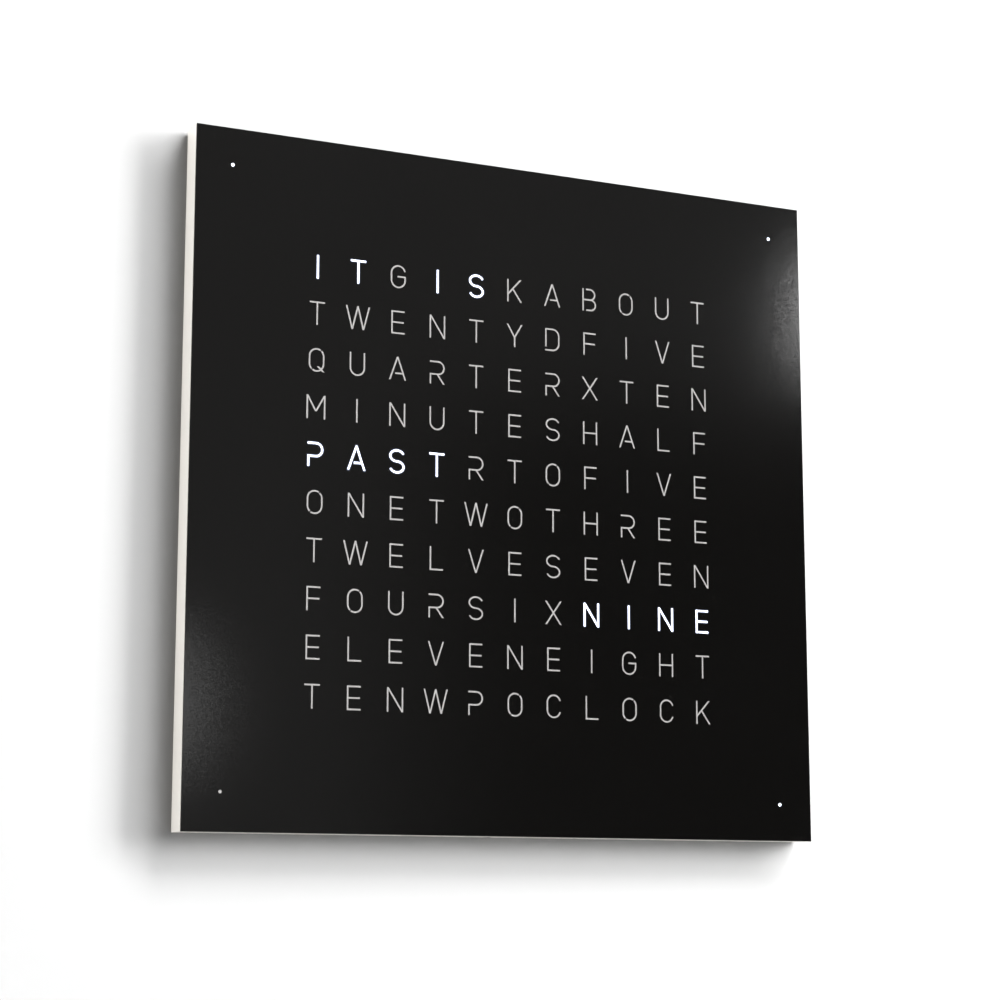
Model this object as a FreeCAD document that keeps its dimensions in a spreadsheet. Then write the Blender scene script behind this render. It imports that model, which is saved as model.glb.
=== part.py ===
import FreeCAD, Part
import math
import os
import Sketcher

# A square wall clock that tells the time in lit words. A thin steel cover is held by magnets on a lacquered
# board body; behind it lie an opal sheet, a moulded grid of light cells, a board with one LED for each letter
# and the control electronics, closed at the back by a screwed steel sheet with two keyholes to hang it by.
#
# Frame: X to the right of someone who reads the clock, Z up, and -Y out of its face. The origin is the
# centre of the back, in the plane of the wall. "Depth" below is the distance in front of that plane.

# ---------------------------------------------------------------- driving dimensions, in millimetres
SIZES = {
    # body and cover
    "case_side": 450.0,
    "case_depth": 19.0,
    "case_edge": 0.8,
    "cover_thick": 1.0,
    "cover_edge": 0.2,
    "rim_width": 4.0,
    "back_thick": 1.5,
    "fit_gap": 0.3,
    "mill_radius": 4.0,
    "cut_margin": 1.0,
    "joint_gap": 0.1,
    "foot_joint": 45.0,
    "top_joint": 95.0,
    "corner_joint": 150.0,
    # letters and the four minute dots
    "letter_columns": 11,
    "letter_rows": 10,
    "column_pitch": 28.25,
    "row_pitch": 31.0,
    "dot_inset": 24.5,
    "dot_bore": 2.5,
    "dot_well": 8.0,
    "dot_diffuser": 12.0,
    # opal sheet and light grid
    "diffuser_thick": 0.5,
    "diffuser_lap": 4.0,
    "grid_depth": 7.5,
    "cell_wall": 1.6,
    "cell_draft": 4.0,
    "flange_width": 9.0,
    "flange_thick": 2.0,
    # boards and LEDs
    "board_thick": 1.6,
    "led_side": 5.0,
    "led_height": 1.6,
    "minute_board_side": 22.0,
    "lead_width": 4.0,
    "lead_thick": 0.9,
    "socket_long": 5.0,
    "socket_wide": 6.0,
    "socket_high": 3.0,
    "socket_inset": 45.0,
    "driver_across": 95.0,
    "driver_up": 80.0,
    "driver_long": 15.4,
    "driver_wide": 7.5,
    "driver_high": 2.3,
    # controller
    "control_wide": 100.0,
    "control_tall": 70.0,
    "control_up": -45.0,
    "header_inset": 5.0,
    "header_long": 40.0,
    "header_wide": 5.0,
    "header_high": 4.0,
    "cell_diameter": 20.0,
    "cell_thick": 3.2,
    "cell_right": 28.0,
    "cell_down": 8.0,
    "holder_side": 22.0,
    "holder_thick": 0.6,
    "processor_side": 12.0,
    "processor_high": 1.5,
    "processor_up": 6.0,
    "crystal_long": 11.0,
    "crystal_wide": 4.6,
    "crystal_high": 3.5,
    "crystal_left": 20.0,
    "regulator_side": 6.6,
    "regulator_high": 2.3,
    "regulator_left": 18.0,
    "supply_down": 20.0,
    "capacitor_long": 7.3,
    "capacitor_wide": 4.3,
    "capacitor_high": 2.8,
    "capacitor_left": 31.5,
    "capacitor_pitch": 9.0,
    # screws of the back sheet and push-in clips of the LED board
    "screw_shank": 2.5,
    "screw_head": 5.0,
    "screw_gap": 0.1,
    "screw_inset": 6.0,
    "back_screw_long": 9.0,
    "back_screw_spread": 160.0,
    "clip_shank": 2.5,
    "clip_head": 5.0,
    "clip_head_high": 1.2,
    "clip_long": 7.0,
    "clip_spread": 125.0,
    # magnets and locating pins of the cover
    "magnet_long": 20.0,
    "magnet_wide": 8.0,
    "magnet_thick": 3.0,
    "magnet_near": 50.0,
    "magnet_far": 110.0,
    "pin_diameter": 4.0,
    "pin_long": 4.0,
    "pin_gap": 0.2,
    "pin_across": 170.0,
    # keyholes
    "keyhole_spacing": 260.0,
    "keyhole_inset": 37.0,
    "keyhole_entry": 10.0,
    "keyhole_slot": 5.0,
    "keyhole_rise": 9.0,
    "keyhole_pocket_wide": 16.0,
    "keyhole_pocket_deep": 8.0,
    # radio receiver
    "bar_side": 6.0,
    "bar_long": 60.0,
    "bar_up": 190.0,
    "coil_long": 26.0,
    "coil_thick": 0.5,
    "saddle_wide": 5.0,
    "saddle_tall": 11.0,
    "saddle_gap": 0.1,
    "radio_wide": 30.0,
    "radio_tall": 10.0,
    "radio_up": 177.0,
    "radio_pocket_wide": 72.0,
    "radio_pocket_top": 198.0,
    # power inlet
    "inlet_inset": 22.0,
    "bay_long": 36.0,
    "bay_wide": 16.0,
    "bay_deep": 13.0,
    "slot_left": 12.0,
    "slot_wide": 6.0,
    "slot_deep": 8.0,
    "jack_wide": 9.0,
    "jack_long": 14.0,
    "jack_bore": 5.6,
    "jack_bore_deep": 9.5,
    "jack_pin": 2.0,
    "jack_pin_long": 8.5,
    "jack_centre": 6.9,
    "power_lead_width": 5.0,
    "power_lead_thick": 2.2,
    "power_socket_wide": 12.0,
    "power_socket_high": 3.6,
    # push buttons and light sensor, in the right-hand side
    "button_up": -115.0,
    "button_pitch": 18.0,
    "button_wall": 6.0,
    "button_depth": 8.5,
    "button_diameter": 6.0,
    "button_gap": 0.25,
    "button_proud": 0.8,
    "button_flange": 9.0,
    "button_flange_thick": 1.2,
    "button_play": 0.2,
    "button_travel": 0.5,
    "plunger_side": 3.2,
    "plunger_proud": 2.2,
    "plunger_seat": 1.0,
    "switch_side": 6.0,
    "switch_high": 3.4,
    "button_board_tall": 66.0,
    "button_board_deep": 11.0,
    "bracket_thick": 2.0,
    "bracket_foot": 8.0,
    "side_pocket_deep": 15.5,
    "side_pocket_wide": 20.0,
    "side_pocket_tall": 76.0,
    "lens_diameter": 4.0,
    "sensor_side": 3.0,
    "sensor_high": 1.2,
}

# ---------------------------------------------------------------- places that follow from those dimensions
HALF = "Sizes.case_side / 2"
COVER_FRONT = "Sizes.case_depth + Sizes.cover_thick"
GRID_FRONT = "Sizes.case_depth - Sizes.diffuser_thick"
BOARD_FRONT = f"({GRID_FRONT} - Sizes.grid_depth)"
BOARD_BACK = f"({BOARD_FRONT} - Sizes.board_thick)"
CAVITY_DEEP = f"({BOARD_FRONT} + Sizes.flange_thick)"
CONTROL_FRONT = f"({BOARD_BACK} - Sizes.header_high)"
CONTROL_BACK = f"({CONTROL_FRONT} - Sizes.board_thick)"
DOT = f"({HALF} - Sizes.dot_inset)"

BLOCK_WIDE = "(Sizes.column_pitch * Sizes.letter_columns + Sizes.cell_wall)"
BLOCK_TALL = "(Sizes.row_pitch * Sizes.letter_rows + Sizes.cell_wall)"
BOARD_WIDE = f"({BLOCK_WIDE} + 2 * Sizes.flange_width)"
BOARD_TALL = f"({BLOCK_TALL} + 2 * Sizes.flange_width)"
CLIP_UP = f"({BLOCK_TALL} + Sizes.flange_width) / 2"
FIRST_COLUMN = "-Sizes.column_pitch * (Sizes.letter_columns - 1) / 2"
FIRST_ROW = "-Sizes.row_pitch * (Sizes.letter_rows - 1) / 2"
ALL_COLUMNS = "Sizes.column_pitch * (Sizes.letter_columns - 1)"
ALL_ROWS = "Sizes.row_pitch * (Sizes.letter_rows - 1)"

REBATE_SIDE = "(Sizes.case_side - 2 * Sizes.rim_width)"
BACK_SIDE = f"({REBATE_SIDE} - 2 * Sizes.fit_gap)"
BACK_SCREW = f"({BACK_SIDE} / 2 - Sizes.screw_inset)"
KEYHOLE_UP = f"({HALF} - Sizes.keyhole_inset)"
SLOPE = f"{math.sqrt(0.5):.8f}"
ROUND_END = 0.49
LEAD_BACK = f"({BOARD_BACK} - Sizes.lead_thick)"

INLET_UP = f"(Sizes.inlet_inset - {HALF})"
JACK_FACE = "(Sizes.bay_long / 2)"
JACK_MIDDLE = f"({JACK_FACE} + Sizes.jack_long / 2)"
JACK_TOP = f"({INLET_UP} + Sizes.jack_wide / 2)"
LEAD_DEPTH = f"({CONTROL_FRONT} + Sizes.power_socket_high / 2)"

WALL_FACE = f"({HALF} - Sizes.button_wall)"
FLANGE_FACE = f"({WALL_FACE} - Sizes.button_play)"
FLANGE_BACK = f"({FLANGE_FACE} - Sizes.button_flange_thick)"
SWITCH_FACE = f"({FLANGE_BACK} - Sizes.plunger_proud)"
SWITCH_BACK = f"({SWITCH_FACE} - Sizes.switch_high)"
BUTTON_BOARD_BACK = f"({SWITCH_BACK} - Sizes.board_thick)"
BRACKET_BACK = f"({BUTTON_BOARD_BACK} - Sizes.bracket_thick)"
SENSOR_UP = "(Sizes.button_up + 2 * Sizes.button_pitch)"
SIDE_POCKET_UP = "(Sizes.button_up + Sizes.button_pitch / 2)"

BUTTONS = {"mode": -1, "hour": 0, "minute": 1}
CORNERS = {"top_left": (-1, 1), "top_right": (1, 1), "bottom_left": (-1, -1), "bottom_right": (1, -1)}
SIDES = {"left": -1, "right": 1}

doc = FreeCAD.newDocument("WordClock")
sheet = doc.addObject("Spreadsheet::Sheet", "Sizes")
pieces = []


def fill_sheet():
    for row, (name, value) in enumerate(SIZES.items(), start=1):
        sheet.set(f"A{row}", name)
        sheet.set(f"B{row}", str(value))
        sheet.setAlias(f"B{row}", name)
    doc.recompute()


def value_of(expression):
    """The number that an expression gives with the sizes in the sheet."""
    result = sheet.evalExpression(str(expression))
    return float(getattr(result, "Value", result))


# ---------------------------------------------------------------- sketches whose every point is dimensioned
def new_piece(label):
    body = doc.addObject("PartDesign::Body", label)
    body.Label = label
    pieces.append(body)
    return body


def origin_part(body, role):
    return next(o for o in body.Origin.OriginFeatures if o.Role == role)


def sketch_on(body, role="XZ_Plane", across="0", up="0", out="0"):
    """A sketch on an origin plane of its own body, moved along the plane's axes and out of it."""
    sketch = body.newObject("Sketcher::SketchObject", f"{body.Label}_sketch")
    sketch.AttachmentSupport = [(origin_part(body, role), "")]
    sketch.MapMode = "FlatFace"
    for axis, place in zip("xyz", (across, up, out)):
        sketch.setExpression(f".AttachmentOffset.Base.{axis}", str(place))
    return sketch


def dimension(sketch, kind, near, far, expression):
    """A distance whose sign is taken into the order of its two points, so that the datum stays positive."""
    value = value_of(expression)
    if abs(value) < 1e-9:
        along = -2 if kind == "DistanceX" else -1
        sketch.addConstraint(Sketcher.Constraint("PointOnObject", far[0], far[1], along))
        return
    if value < 0:
        near, far, expression = far, near, f"-({expression})"
    index = sketch.addConstraint(Sketcher.Constraint(kind, *near, *far, abs(value)))
    sketch.setExpression(f"Constraints[{index}]", str(expression))


def place_point(sketch, geometry, point, x, y):
    origin = (-1, 1)
    dimension(sketch, "DistanceX", origin, (geometry, point), x)
    dimension(sketch, "DistanceY", origin, (geometry, point), y)


def polygon(sketch, corners):
    """A closed outline through corners, each an (x, y) pair of expressions."""
    points = [FreeCAD.Vector(value_of(x), value_of(y), 0) for x, y in corners]
    count = len(points)
    lines = [
        sketch.addGeometry(Part.LineSegment(points[i], points[(i + 1) % count]))
        for i in range(count)
    ]
    for i in range(count):
        after = lines[(i + 1) % count]
        sketch.addConstraint(Sketcher.Constraint("Coincident", lines[i], 2, after, 1))
    for line, (x, y) in zip(lines, corners):
        place_point(sketch, line, 1, x, y)
    return sketch


def rectangle(sketch, wide, tall, x="0", y="0"):
    left, right = f"({x}) - ({wide}) / 2", f"({x}) + ({wide}) / 2"
    low, high = f"({y}) - ({tall}) / 2", f"({y}) + ({tall}) / 2"
    return polygon(sketch, [(left, low), (right, low), (right, high), (left, high)])


def circle(sketch, diameter, x="0", y="0"):
    centre = FreeCAD.Vector(value_of(x), value_of(y), 0)
    ring = sketch.addGeometry(Part.Circle(centre, FreeCAD.Vector(0, 0, 1), value_of(diameter) / 2))
    place_point(sketch, ring, 3, x, y)
    index = sketch.addConstraint(Sketcher.Constraint("Diameter", ring, value_of(diameter)))
    sketch.setExpression(f"Constraints[{index}]", str(diameter))
    return sketch


def rounded_rectangle(sketch, wide, tall, radius, x="0", y="0"):
    """A rectangle with round corners, as a milling cutter leaves them."""
    r, cx, cy = value_of(radius), value_of(x), value_of(y)
    inner_x, inner_y = value_of(wide) / 2 - r, value_of(tall) / 2 - r
    arcs = []
    for quarter, (sx, sy) in enumerate(((1, 1), (-1, 1), (-1, -1), (1, -1))):
        centre = FreeCAD.Vector(cx + sx * inner_x, cy + sy * inner_y, 0)
        ring = Part.Circle(centre, FreeCAD.Vector(0, 0, 1), r)
        start = quarter * math.pi / 2
        arc = sketch.addGeometry(Part.ArcOfCircle(ring, start, start + math.pi / 2))
        arc_x = f"({x}) + ({sx}) * (({wide}) / 2 - ({radius}))"
        arc_y = f"({y}) + ({sy}) * (({tall}) / 2 - ({radius}))"
        place_point(sketch, arc, 3, arc_x, arc_y)
        arcs.append(arc)
    index = sketch.addConstraint(Sketcher.Constraint("Radius", arcs[0], r))
    sketch.setExpression(f"Constraints[{index}]", str(radius))
    for arc in arcs[1:]:
        sketch.addConstraint(Sketcher.Constraint("Equal", arcs[0], arc))
    for before, after in zip(arcs, arcs[1:] + arcs[:1]):
        ends = [sketch.Geometry[before].EndPoint, sketch.Geometry[after].StartPoint]
        line = sketch.addGeometry(Part.LineSegment(*ends))
        sketch.addConstraint(Sketcher.Constraint("Tangent", before, 2, line, 1))
        sketch.addConstraint(Sketcher.Constraint("Tangent", line, 2, after, 1))
    return sketch


# ---------------------------------------------------------------- features
def pad(body, sketch, length):
    feature = body.newObject("PartDesign::Pad", f"{body.Label}_pad")
    feature.Profile = sketch
    feature.setExpression("Length", str(length))
    return feature


def cut(body, sketch, length, forwards=True, draft=None):
    """A pocket from the sketch's plane along its normal, or against it where forwards is False."""
    feature = body.newObject("PartDesign::Pocket", f"{body.Label}_cut")
    feature.Profile = sketch
    feature.Reversed = forwards
    feature.setExpression("Length", str(length))
    if draft:
        feature.setExpression("TaperAngle", draft)
    return feature


def spin(body, sketch, removes=False):
    """A body of revolution about the sketch's own upright axis."""
    kind = "PartDesign::Groove" if removes else "PartDesign::Revolution"
    feature = body.newObject(kind, f"{body.Label}_spin")
    feature.Profile = sketch
    feature.ReferenceAxis = (sketch, ["V_Axis"])
    feature.Angle = 360
    return feature


def mirror_both(body, features, planes=("YZ_Plane", "XY_Plane")):
    """Repeats features left to right and top to bottom."""
    if len(planes) == 1:
        step = body.newObject("PartDesign::Mirrored", f"{body.Label}_mirror")
        step.Originals = features
        step.MirrorPlane = (origin_part(body, planes[0]), [""])
        body.Tip = step
        return step
    multi = body.newObject("PartDesign::MultiTransform", f"{body.Label}_mirrors")
    multi.Originals = features
    steps = []
    for plane in planes:
        step = doc.addObject("PartDesign::Mirrored", f"{body.Label}_mirror")
        step.MirrorPlane = (origin_part(body, plane), [""])
        steps.append(step)
    multi.Transformations = steps
    body.Tip = multi
    return multi


def repeat_for_letters(body, features):
    """Repeats features, made for the lowest letter of the left column, for every letter."""
    multi = body.newObject("PartDesign::MultiTransform", f"{body.Label}_letters")
    multi.Originals = features
    steps = []
    for axis, length, count in (
        ("X_Axis", ALL_COLUMNS, "Sizes.letter_columns"),
        ("Z_Axis", ALL_ROWS, "Sizes.letter_rows"),
    ):
        step = doc.addObject("PartDesign::LinearPattern", f"{body.Label}_row")
        step.Direction = (origin_part(body, axis), [""])
        step.setExpression("Length", length)
        step.setExpression("Occurrences", count)
        steps.append(step)
    multi.Transformations = steps
    body.Tip = multi
    return multi


def bevel(body, base, size, keep_edge):
    """Chamfers the edges of base that keep_edge picks."""
    doc.recompute()
    names = [f"Edge{i}" for i, edge in enumerate(base.Shape.Edges, start=1) if keep_edge(edge)]
    feature = body.newObject("PartDesign::Chamfer", f"{body.Label}_bevel")
    feature.Base = (base, names)
    feature.setExpression("Size", size)
    return feature


def lies_at_depth(depth):
    """Picks the edges that lie wholly in the plane at a depth in front of the wall."""
    y = -value_of(depth)
    return lambda edge: abs(edge.BoundBox.YMin - y) < 1e-6 and abs(edge.BoundBox.YMax - y) < 1e-6


def slab(label, wide, tall, back, thick, x="0", z="0"):
    """A flat rectangular piece parallel to the wall, from depth back to back + thick."""
    body = new_piece(label)
    pad(body, rectangle(sketch_on(body, out=back), wide, tall, x, z), thick)
    return body


def cavity_plate(body, back, thick):
    """A plate that fills the board cavity, with corners rounded as the cutter leaves the cavity's own."""
    outline = rounded_rectangle(sketch_on(body, out=back), BOARD_WIDE, BOARD_TALL, "Sizes.mill_radius")
    return pad(body, outline, thick)


def turned(body, x, z, outline, removes=False):
    """Turns an outline of (radius, depth) pairs about the line through (x, z) square to the wall."""
    sketch = sketch_on(body, "XY_Plane", across=x, out=z)
    polygon(sketch, [(radius, f"-({depth})") for radius, depth in outline])
    return spin(body, sketch, removes)


# ---------------------------------------------------------------- screws
def flush_outline(back, length):
    """A countersunk screw whose flat head lies at depth back."""
    neck = f"({back}) + (Sizes.screw_head - Sizes.screw_shank) / 2"
    end = f"({back}) + ({length})"
    return [
        ("0", back),
        ("Sizes.screw_head / 2", back),
        ("Sizes.screw_shank / 2", neck),
        ("Sizes.screw_shank / 2", end),
        ("0", end),
    ]


def countersunk_hole(body, x, z, back, thick):
    """The hole of a countersunk screw through a sheet, turned out with the screw's own taper."""
    gap = "Sizes.screw_gap"
    neck = f"({back}) + (Sizes.screw_head - Sizes.screw_shank) / 2"
    bore = f"Sizes.screw_shank / 2 + {gap}"
    return turned(
        body,
        x,
        z,
        [
            ("0", back),
            (f"Sizes.screw_head / 2 + {gap}", back),
            (bore, neck),
            (bore, f"({back}) + ({thick})"),
            ("0", f"({back}) + ({thick})"),
        ],
        removes=True,
    )


# ---------------------------------------------------------------- front cover
def make_front_cover():
    """The steel sheet that shows the letters, with the four minute dots bored through."""
    body = new_piece("front_cover")
    outline = rectangle(sketch_on(body, out="Sizes.case_depth"), "Sizes.case_side", "Sizes.case_side")
    plate = pad(body, outline, "Sizes.cover_thick")
    bevelled = bevel(body, plate, "Sizes.cover_edge", lies_at_depth(COVER_FRONT))
    body.Tip = bevelled
    dot = cut(body, circle(sketch_on(body, out="Sizes.case_depth"), "Sizes.dot_bore", DOT, DOT),
              "Sizes.cover_thick")
    mirror_both(body, [dot])


def make_cover_pins():
    """Two welded studs that hang the cover on the body, while the magnets hold it flat."""
    body = new_piece("cover_pins")
    foot = sketch_on(body, out="Sizes.case_depth - Sizes.pin_long")
    circle(foot, "Sizes.pin_diameter", "Sizes.pin_across", DOT)
    mirror_both(body, [pad(body, foot, "Sizes.pin_long")], ["YZ_Plane"])


# ---------------------------------------------------------------- body
def hollow(body, wide, tall, deep, x="0", z="0"):
    """A rectangular pocket from the back of a body."""
    return cut(body, rectangle(sketch_on(body), wide, tall, x, z), deep)


def make_housing():
    """The lacquered board body: eight blocks, milled as one from both sides and glued at their joints."""
    body = new_piece("housing")
    board = pad(body, rectangle(sketch_on(body), "Sizes.case_side", "Sizes.case_side"), "Sizes.case_depth")
    half = value_of(HALF)
    bevelled = bevel(
        body,
        board,
        "Sizes.case_edge",
        lambda edge: edge.BoundBox.XLength + edge.BoundBox.ZLength > half,
    )
    body.Tip = bevelled
    gap = "2 * Sizes.fit_gap"
    hollow(body, REBATE_SIDE, REBATE_SIDE, "Sizes.back_thick")
    cavity = rounded_rectangle(sketch_on(body), f"{BOARD_WIDE} + {gap}", f"{BOARD_TALL} + {gap}",
                               "Sizes.mill_radius")
    cut(body, cavity, CAVITY_DEEP)
    hollow(body, f"{BLOCK_WIDE} + {gap}", f"{BLOCK_TALL} + {gap}", "Sizes.case_depth")
    lap = f"2 * Sizes.diffuser_lap + {gap}"
    sheet_seat = sketch_on(body, out="Sizes.case_depth")
    rectangle(sheet_seat, f"{BLOCK_WIDE} + {lap}", f"{BLOCK_TALL} + {lap}")
    cut(body, sheet_seat, "Sizes.diffuser_thick", forwards=False)
    cut_minute_lights(body)
    cut_cover_seats(body)
    cut_keyhole_pockets(body)
    cut_radio_pocket(body)
    cut_power_inlet(body)
    cut_button_pocket(body)
    cut_joints(body)


def cut_minute_lights(body):
    """In each corner a well for the dot's light, a seat for its diffuser, a board pocket and a groove."""
    front, well = "Sizes.case_depth", "Sizes.dot_well"
    seat_side = "Sizes.dot_diffuser + 2 * Sizes.fit_gap"
    pocket_side = "Sizes.minute_board_side + 2 * Sizes.fit_gap"
    shaft = cut(body, rectangle(sketch_on(body, out=front), well, well, DOT, DOT), front, forwards=False)
    square = rectangle(sketch_on(body, out=front), seat_side, seat_side, DOT, DOT)
    seat = cut(body, square, "Sizes.diffuser_thick", forwards=False)
    square = rectangle(sketch_on(body), pocket_side, pocket_side, DOT, DOT)
    pocket = cut(body, square, BOARD_FRONT)
    half_groove = "Sizes.socket_wide / 2 + Sizes.fit_gap"
    inner_end = f"{BOARD_TALL} / 2 - Sizes.flange_width"
    groove = sketch_on(body)
    polygon(groove, diagonal_corners(inner_end, DOT, half_groove))
    lead = cut(body, groove, f"{BOARD_BACK} + Sizes.fit_gap")
    mirror_both(body, [shaft, seat, pocket, lead])


def diagonal_corners(start, end, half_width):
    """The four corners of a strip that runs along the diagonal x = z from start to end."""
    step = f"({half_width}) * {SLOPE}"
    return [
        (f"({start}) + {step}", f"({start}) - {step}"),
        (f"({end}) + {step}", f"({end}) - {step}"),
        (f"({end}) - {step}", f"({end}) + {step}"),
        (f"({start}) - {step}", f"({start}) + {step}"),
    ]


def cut_cover_seats(body):
    """Blind pockets in the front face for the bar magnets, and bores for the cover's two studs."""
    front, gap = "Sizes.case_depth", "2 * Sizes.screw_gap"
    pockets = []
    for wide, tall, x, z in magnet_places():
        seat = rectangle(sketch_on(body, out=front), f"{wide} + {gap}", f"{tall} + {gap}", x, z)
        pockets.append(cut(body, seat, "Sizes.magnet_thick", forwards=False))
    mirror_both(body, pockets)
    sketch = sketch_on(body, out=front)
    circle(sketch, "Sizes.pin_diameter + 2 * Sizes.pin_gap", "Sizes.pin_across", DOT)
    pin = cut(body, sketch, "Sizes.pin_long + Sizes.fit_gap", forwards=False)
    mirror_both(body, [pin], ["YZ_Plane"])


def magnet_places():
    """Width, height and middle of the magnets in the top right quarter: one along each side."""
    long, wide = "Sizes.magnet_long", "Sizes.magnet_wide"
    return [(long, wide, "Sizes.magnet_far", DOT), (wide, long, DOT, "Sizes.magnet_near")]


def cut_keyhole_pockets(body):
    """Room behind each keyhole for the head of the wall screw."""
    pocket = hollow(
        body,
        "Sizes.keyhole_pocket_wide",
        "2 * Sizes.keyhole_entry + Sizes.fit_gap",
        "Sizes.back_thick + Sizes.keyhole_pocket_deep",
        "Sizes.keyhole_spacing / 2",
        f"{KEYHOLE_UP} + Sizes.keyhole_rise / 2",
    )
    mirror_both(body, [pocket], ["YZ_Plane"])


def cut_radio_pocket(body):
    """A pocket in the top of the frame for the aerial and its receiver, open to the board cavity."""
    foot = f"{BOARD_TALL} / 2 - Sizes.cut_margin"
    tall = f"(Sizes.radio_pocket_top - ({foot}))"
    hollow(body, "Sizes.radio_pocket_wide", tall, BOARD_FRONT, "0", f"{foot} + {tall} / 2")


def cut_power_inlet(body):
    """A bay for the plug with a slot for its lead, and beside it the jack's seat with a groove to the cavity."""
    hollow(body, "Sizes.bay_long", "Sizes.bay_wide", "Sizes.bay_deep", "0", INLET_UP)
    left, right = f"({JACK_FACE} - Sizes.cut_margin)", f"({JACK_FACE} + Sizes.jack_long + Sizes.fit_gap)"
    hollow(body, f"{right} - {left}", "Sizes.jack_wide + 2 * Sizes.fit_gap",
           "Sizes.jack_centre + Sizes.jack_wide / 2 + Sizes.fit_gap", f"({left} + {right}) / 2", INLET_UP)
    foot, top = f"(-{HALF} - Sizes.cut_margin)", f"({INLET_UP} - Sizes.bay_wide / 2 + Sizes.cut_margin)"
    hollow(body, "Sizes.slot_wide", f"{top} - {foot}", "Sizes.slot_deep", "-Sizes.slot_left",
           f"({top} + {foot}) / 2")
    top = f"(Sizes.cut_margin - {BOARD_TALL} / 2)"
    hollow(body, "Sizes.power_lead_width + 2 * Sizes.fit_gap", f"{top} - {INLET_UP}",
           f"{LEAD_DEPTH} + Sizes.power_lead_thick / 2 + Sizes.fit_gap", JACK_MIDDLE,
           f"({top} + {INLET_UP}) / 2")


def cut_button_pocket(body):
    """A pocket from the back for the switches, a groove for their lead and bores through the side."""
    middle = f"({WALL_FACE} - Sizes.side_pocket_wide / 2)"
    hollow(body, "Sizes.side_pocket_wide", "Sizes.side_pocket_tall", "Sizes.side_pocket_deep", middle,
           SIDE_POCKET_UP)
    near = f"({BOARD_WIDE} / 2 - Sizes.flange_width)"
    hollow(body, f"{middle} - {near}", "Sizes.socket_wide + 2 * Sizes.fit_gap",
           f"{BOARD_BACK} + Sizes.fit_gap", f"({middle} + {near}) / 2", SIDE_POCKET_UP)
    bores = sketch_on(body, "YZ_Plane", out=f"{WALL_FACE} - Sizes.cut_margin")
    wide = "Sizes.button_diameter + 2 * Sizes.button_gap"
    for place in BUTTONS.values():
        circle(bores, wide, "-Sizes.button_depth", button_height(place))
    circle(bores, "Sizes.lens_diameter + 2 * Sizes.screw_gap", "-Sizes.button_depth", SENSOR_UP)
    cut(body, bores, "Sizes.button_wall + 2 * Sizes.cut_margin")


def cut_joints(body):
    """The glue lines: two in the top, two in the foot and one at each corner, where a stile begins."""
    lines = sketch_on(body)
    tall = f"({HALF} - {BLOCK_TALL} / 2)"
    for side in SIDES.values():
        for level, joint in ((1, "top"), (1, "corner"), (-1, "foot"), (-1, "corner")):
            rectangle(lines, "Sizes.joint_gap", tall, f"({side}) * Sizes.{joint}_joint",
                      f"({level}) * ({HALF} + {BLOCK_TALL} / 2) / 2")
    cut(body, lines, "Sizes.case_depth")


def button_height(place):
    return f"(Sizes.button_up + ({place}) * Sizes.button_pitch)"


# ---------------------------------------------------------------- optics
def make_optics():
    lap, thick = "2 * Sizes.diffuser_lap", "Sizes.diffuser_thick"
    slab("letter_diffuser", f"{BLOCK_WIDE} + {lap}", f"{BLOCK_TALL} + {lap}", GRID_FRONT, thick)
    plates = new_piece("minute_diffusers")
    square = sketch_on(plates, out=GRID_FRONT)
    rectangle(square, "Sizes.dot_diffuser", "Sizes.dot_diffuser", DOT, DOT)
    mirror_both(plates, [pad(plates, square, thick)])


def make_light_grid():
    """The moulded grid: a tapered light cell for each letter, on a flange that the LED board clamps."""
    body = new_piece("light_grid")
    cavity_plate(body, BOARD_FRONT, "Sizes.flange_thick")
    pad(body, rectangle(sketch_on(body, out=BOARD_FRONT), BLOCK_WIDE, BLOCK_TALL), "Sizes.grid_depth")
    mirror_both(body, [cut(body, clip_hole(body, BOARD_FRONT), "Sizes.flange_thick")])
    mouth = sketch_on(body, out=GRID_FRONT)
    rectangle(mouth, "Sizes.column_pitch - Sizes.cell_wall", "Sizes.row_pitch - Sizes.cell_wall",
              FIRST_COLUMN, FIRST_ROW)
    cell = cut(body, mouth, "Sizes.grid_depth", forwards=False, draft="-Sizes.cell_draft")
    repeat_for_letters(body, [cell])


# ---------------------------------------------------------------- boards and what they carry
def make_led_board():
    body = new_piece("led_board")
    cavity_plate(body, BOARD_BACK, "Sizes.board_thick")
    mirror_both(body, [cut(body, clip_hole(body, BOARD_BACK), "Sizes.board_thick")])


def clip_square(body, depth, side):
    """The outline of a square at the place of the upper right clip."""
    return rectangle(sketch_on(body, out=depth), side, side, "Sizes.clip_spread", CLIP_UP)


def clip_hole(body, depth):
    return clip_square(body, depth, "Sizes.clip_shank + 2 * Sizes.screw_gap")


def make_board_clips():
    """Square push-in clips that hold the LED board and the grid's flange to the body."""
    body = new_piece("board_clips")
    seat = f"{BOARD_BACK} - Sizes.clip_head_high"
    head = pad(body, clip_square(body, seat, "Sizes.clip_head"), "Sizes.clip_head_high")
    shank = pad(body, clip_square(body, seat, "Sizes.clip_shank"), "Sizes.clip_head_high + Sizes.clip_long")
    mirror_both(body, [head, shank])


def make_letter_leds():
    """One surface-mounted LED in the middle of every light cell."""
    body = new_piece("letter_leds")
    foot = sketch_on(body, out=BOARD_FRONT)
    rectangle(foot, "Sizes.led_side", "Sizes.led_side", FIRST_COLUMN, FIRST_ROW)
    repeat_for_letters(body, [pad(body, foot, "Sizes.led_height")])


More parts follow.
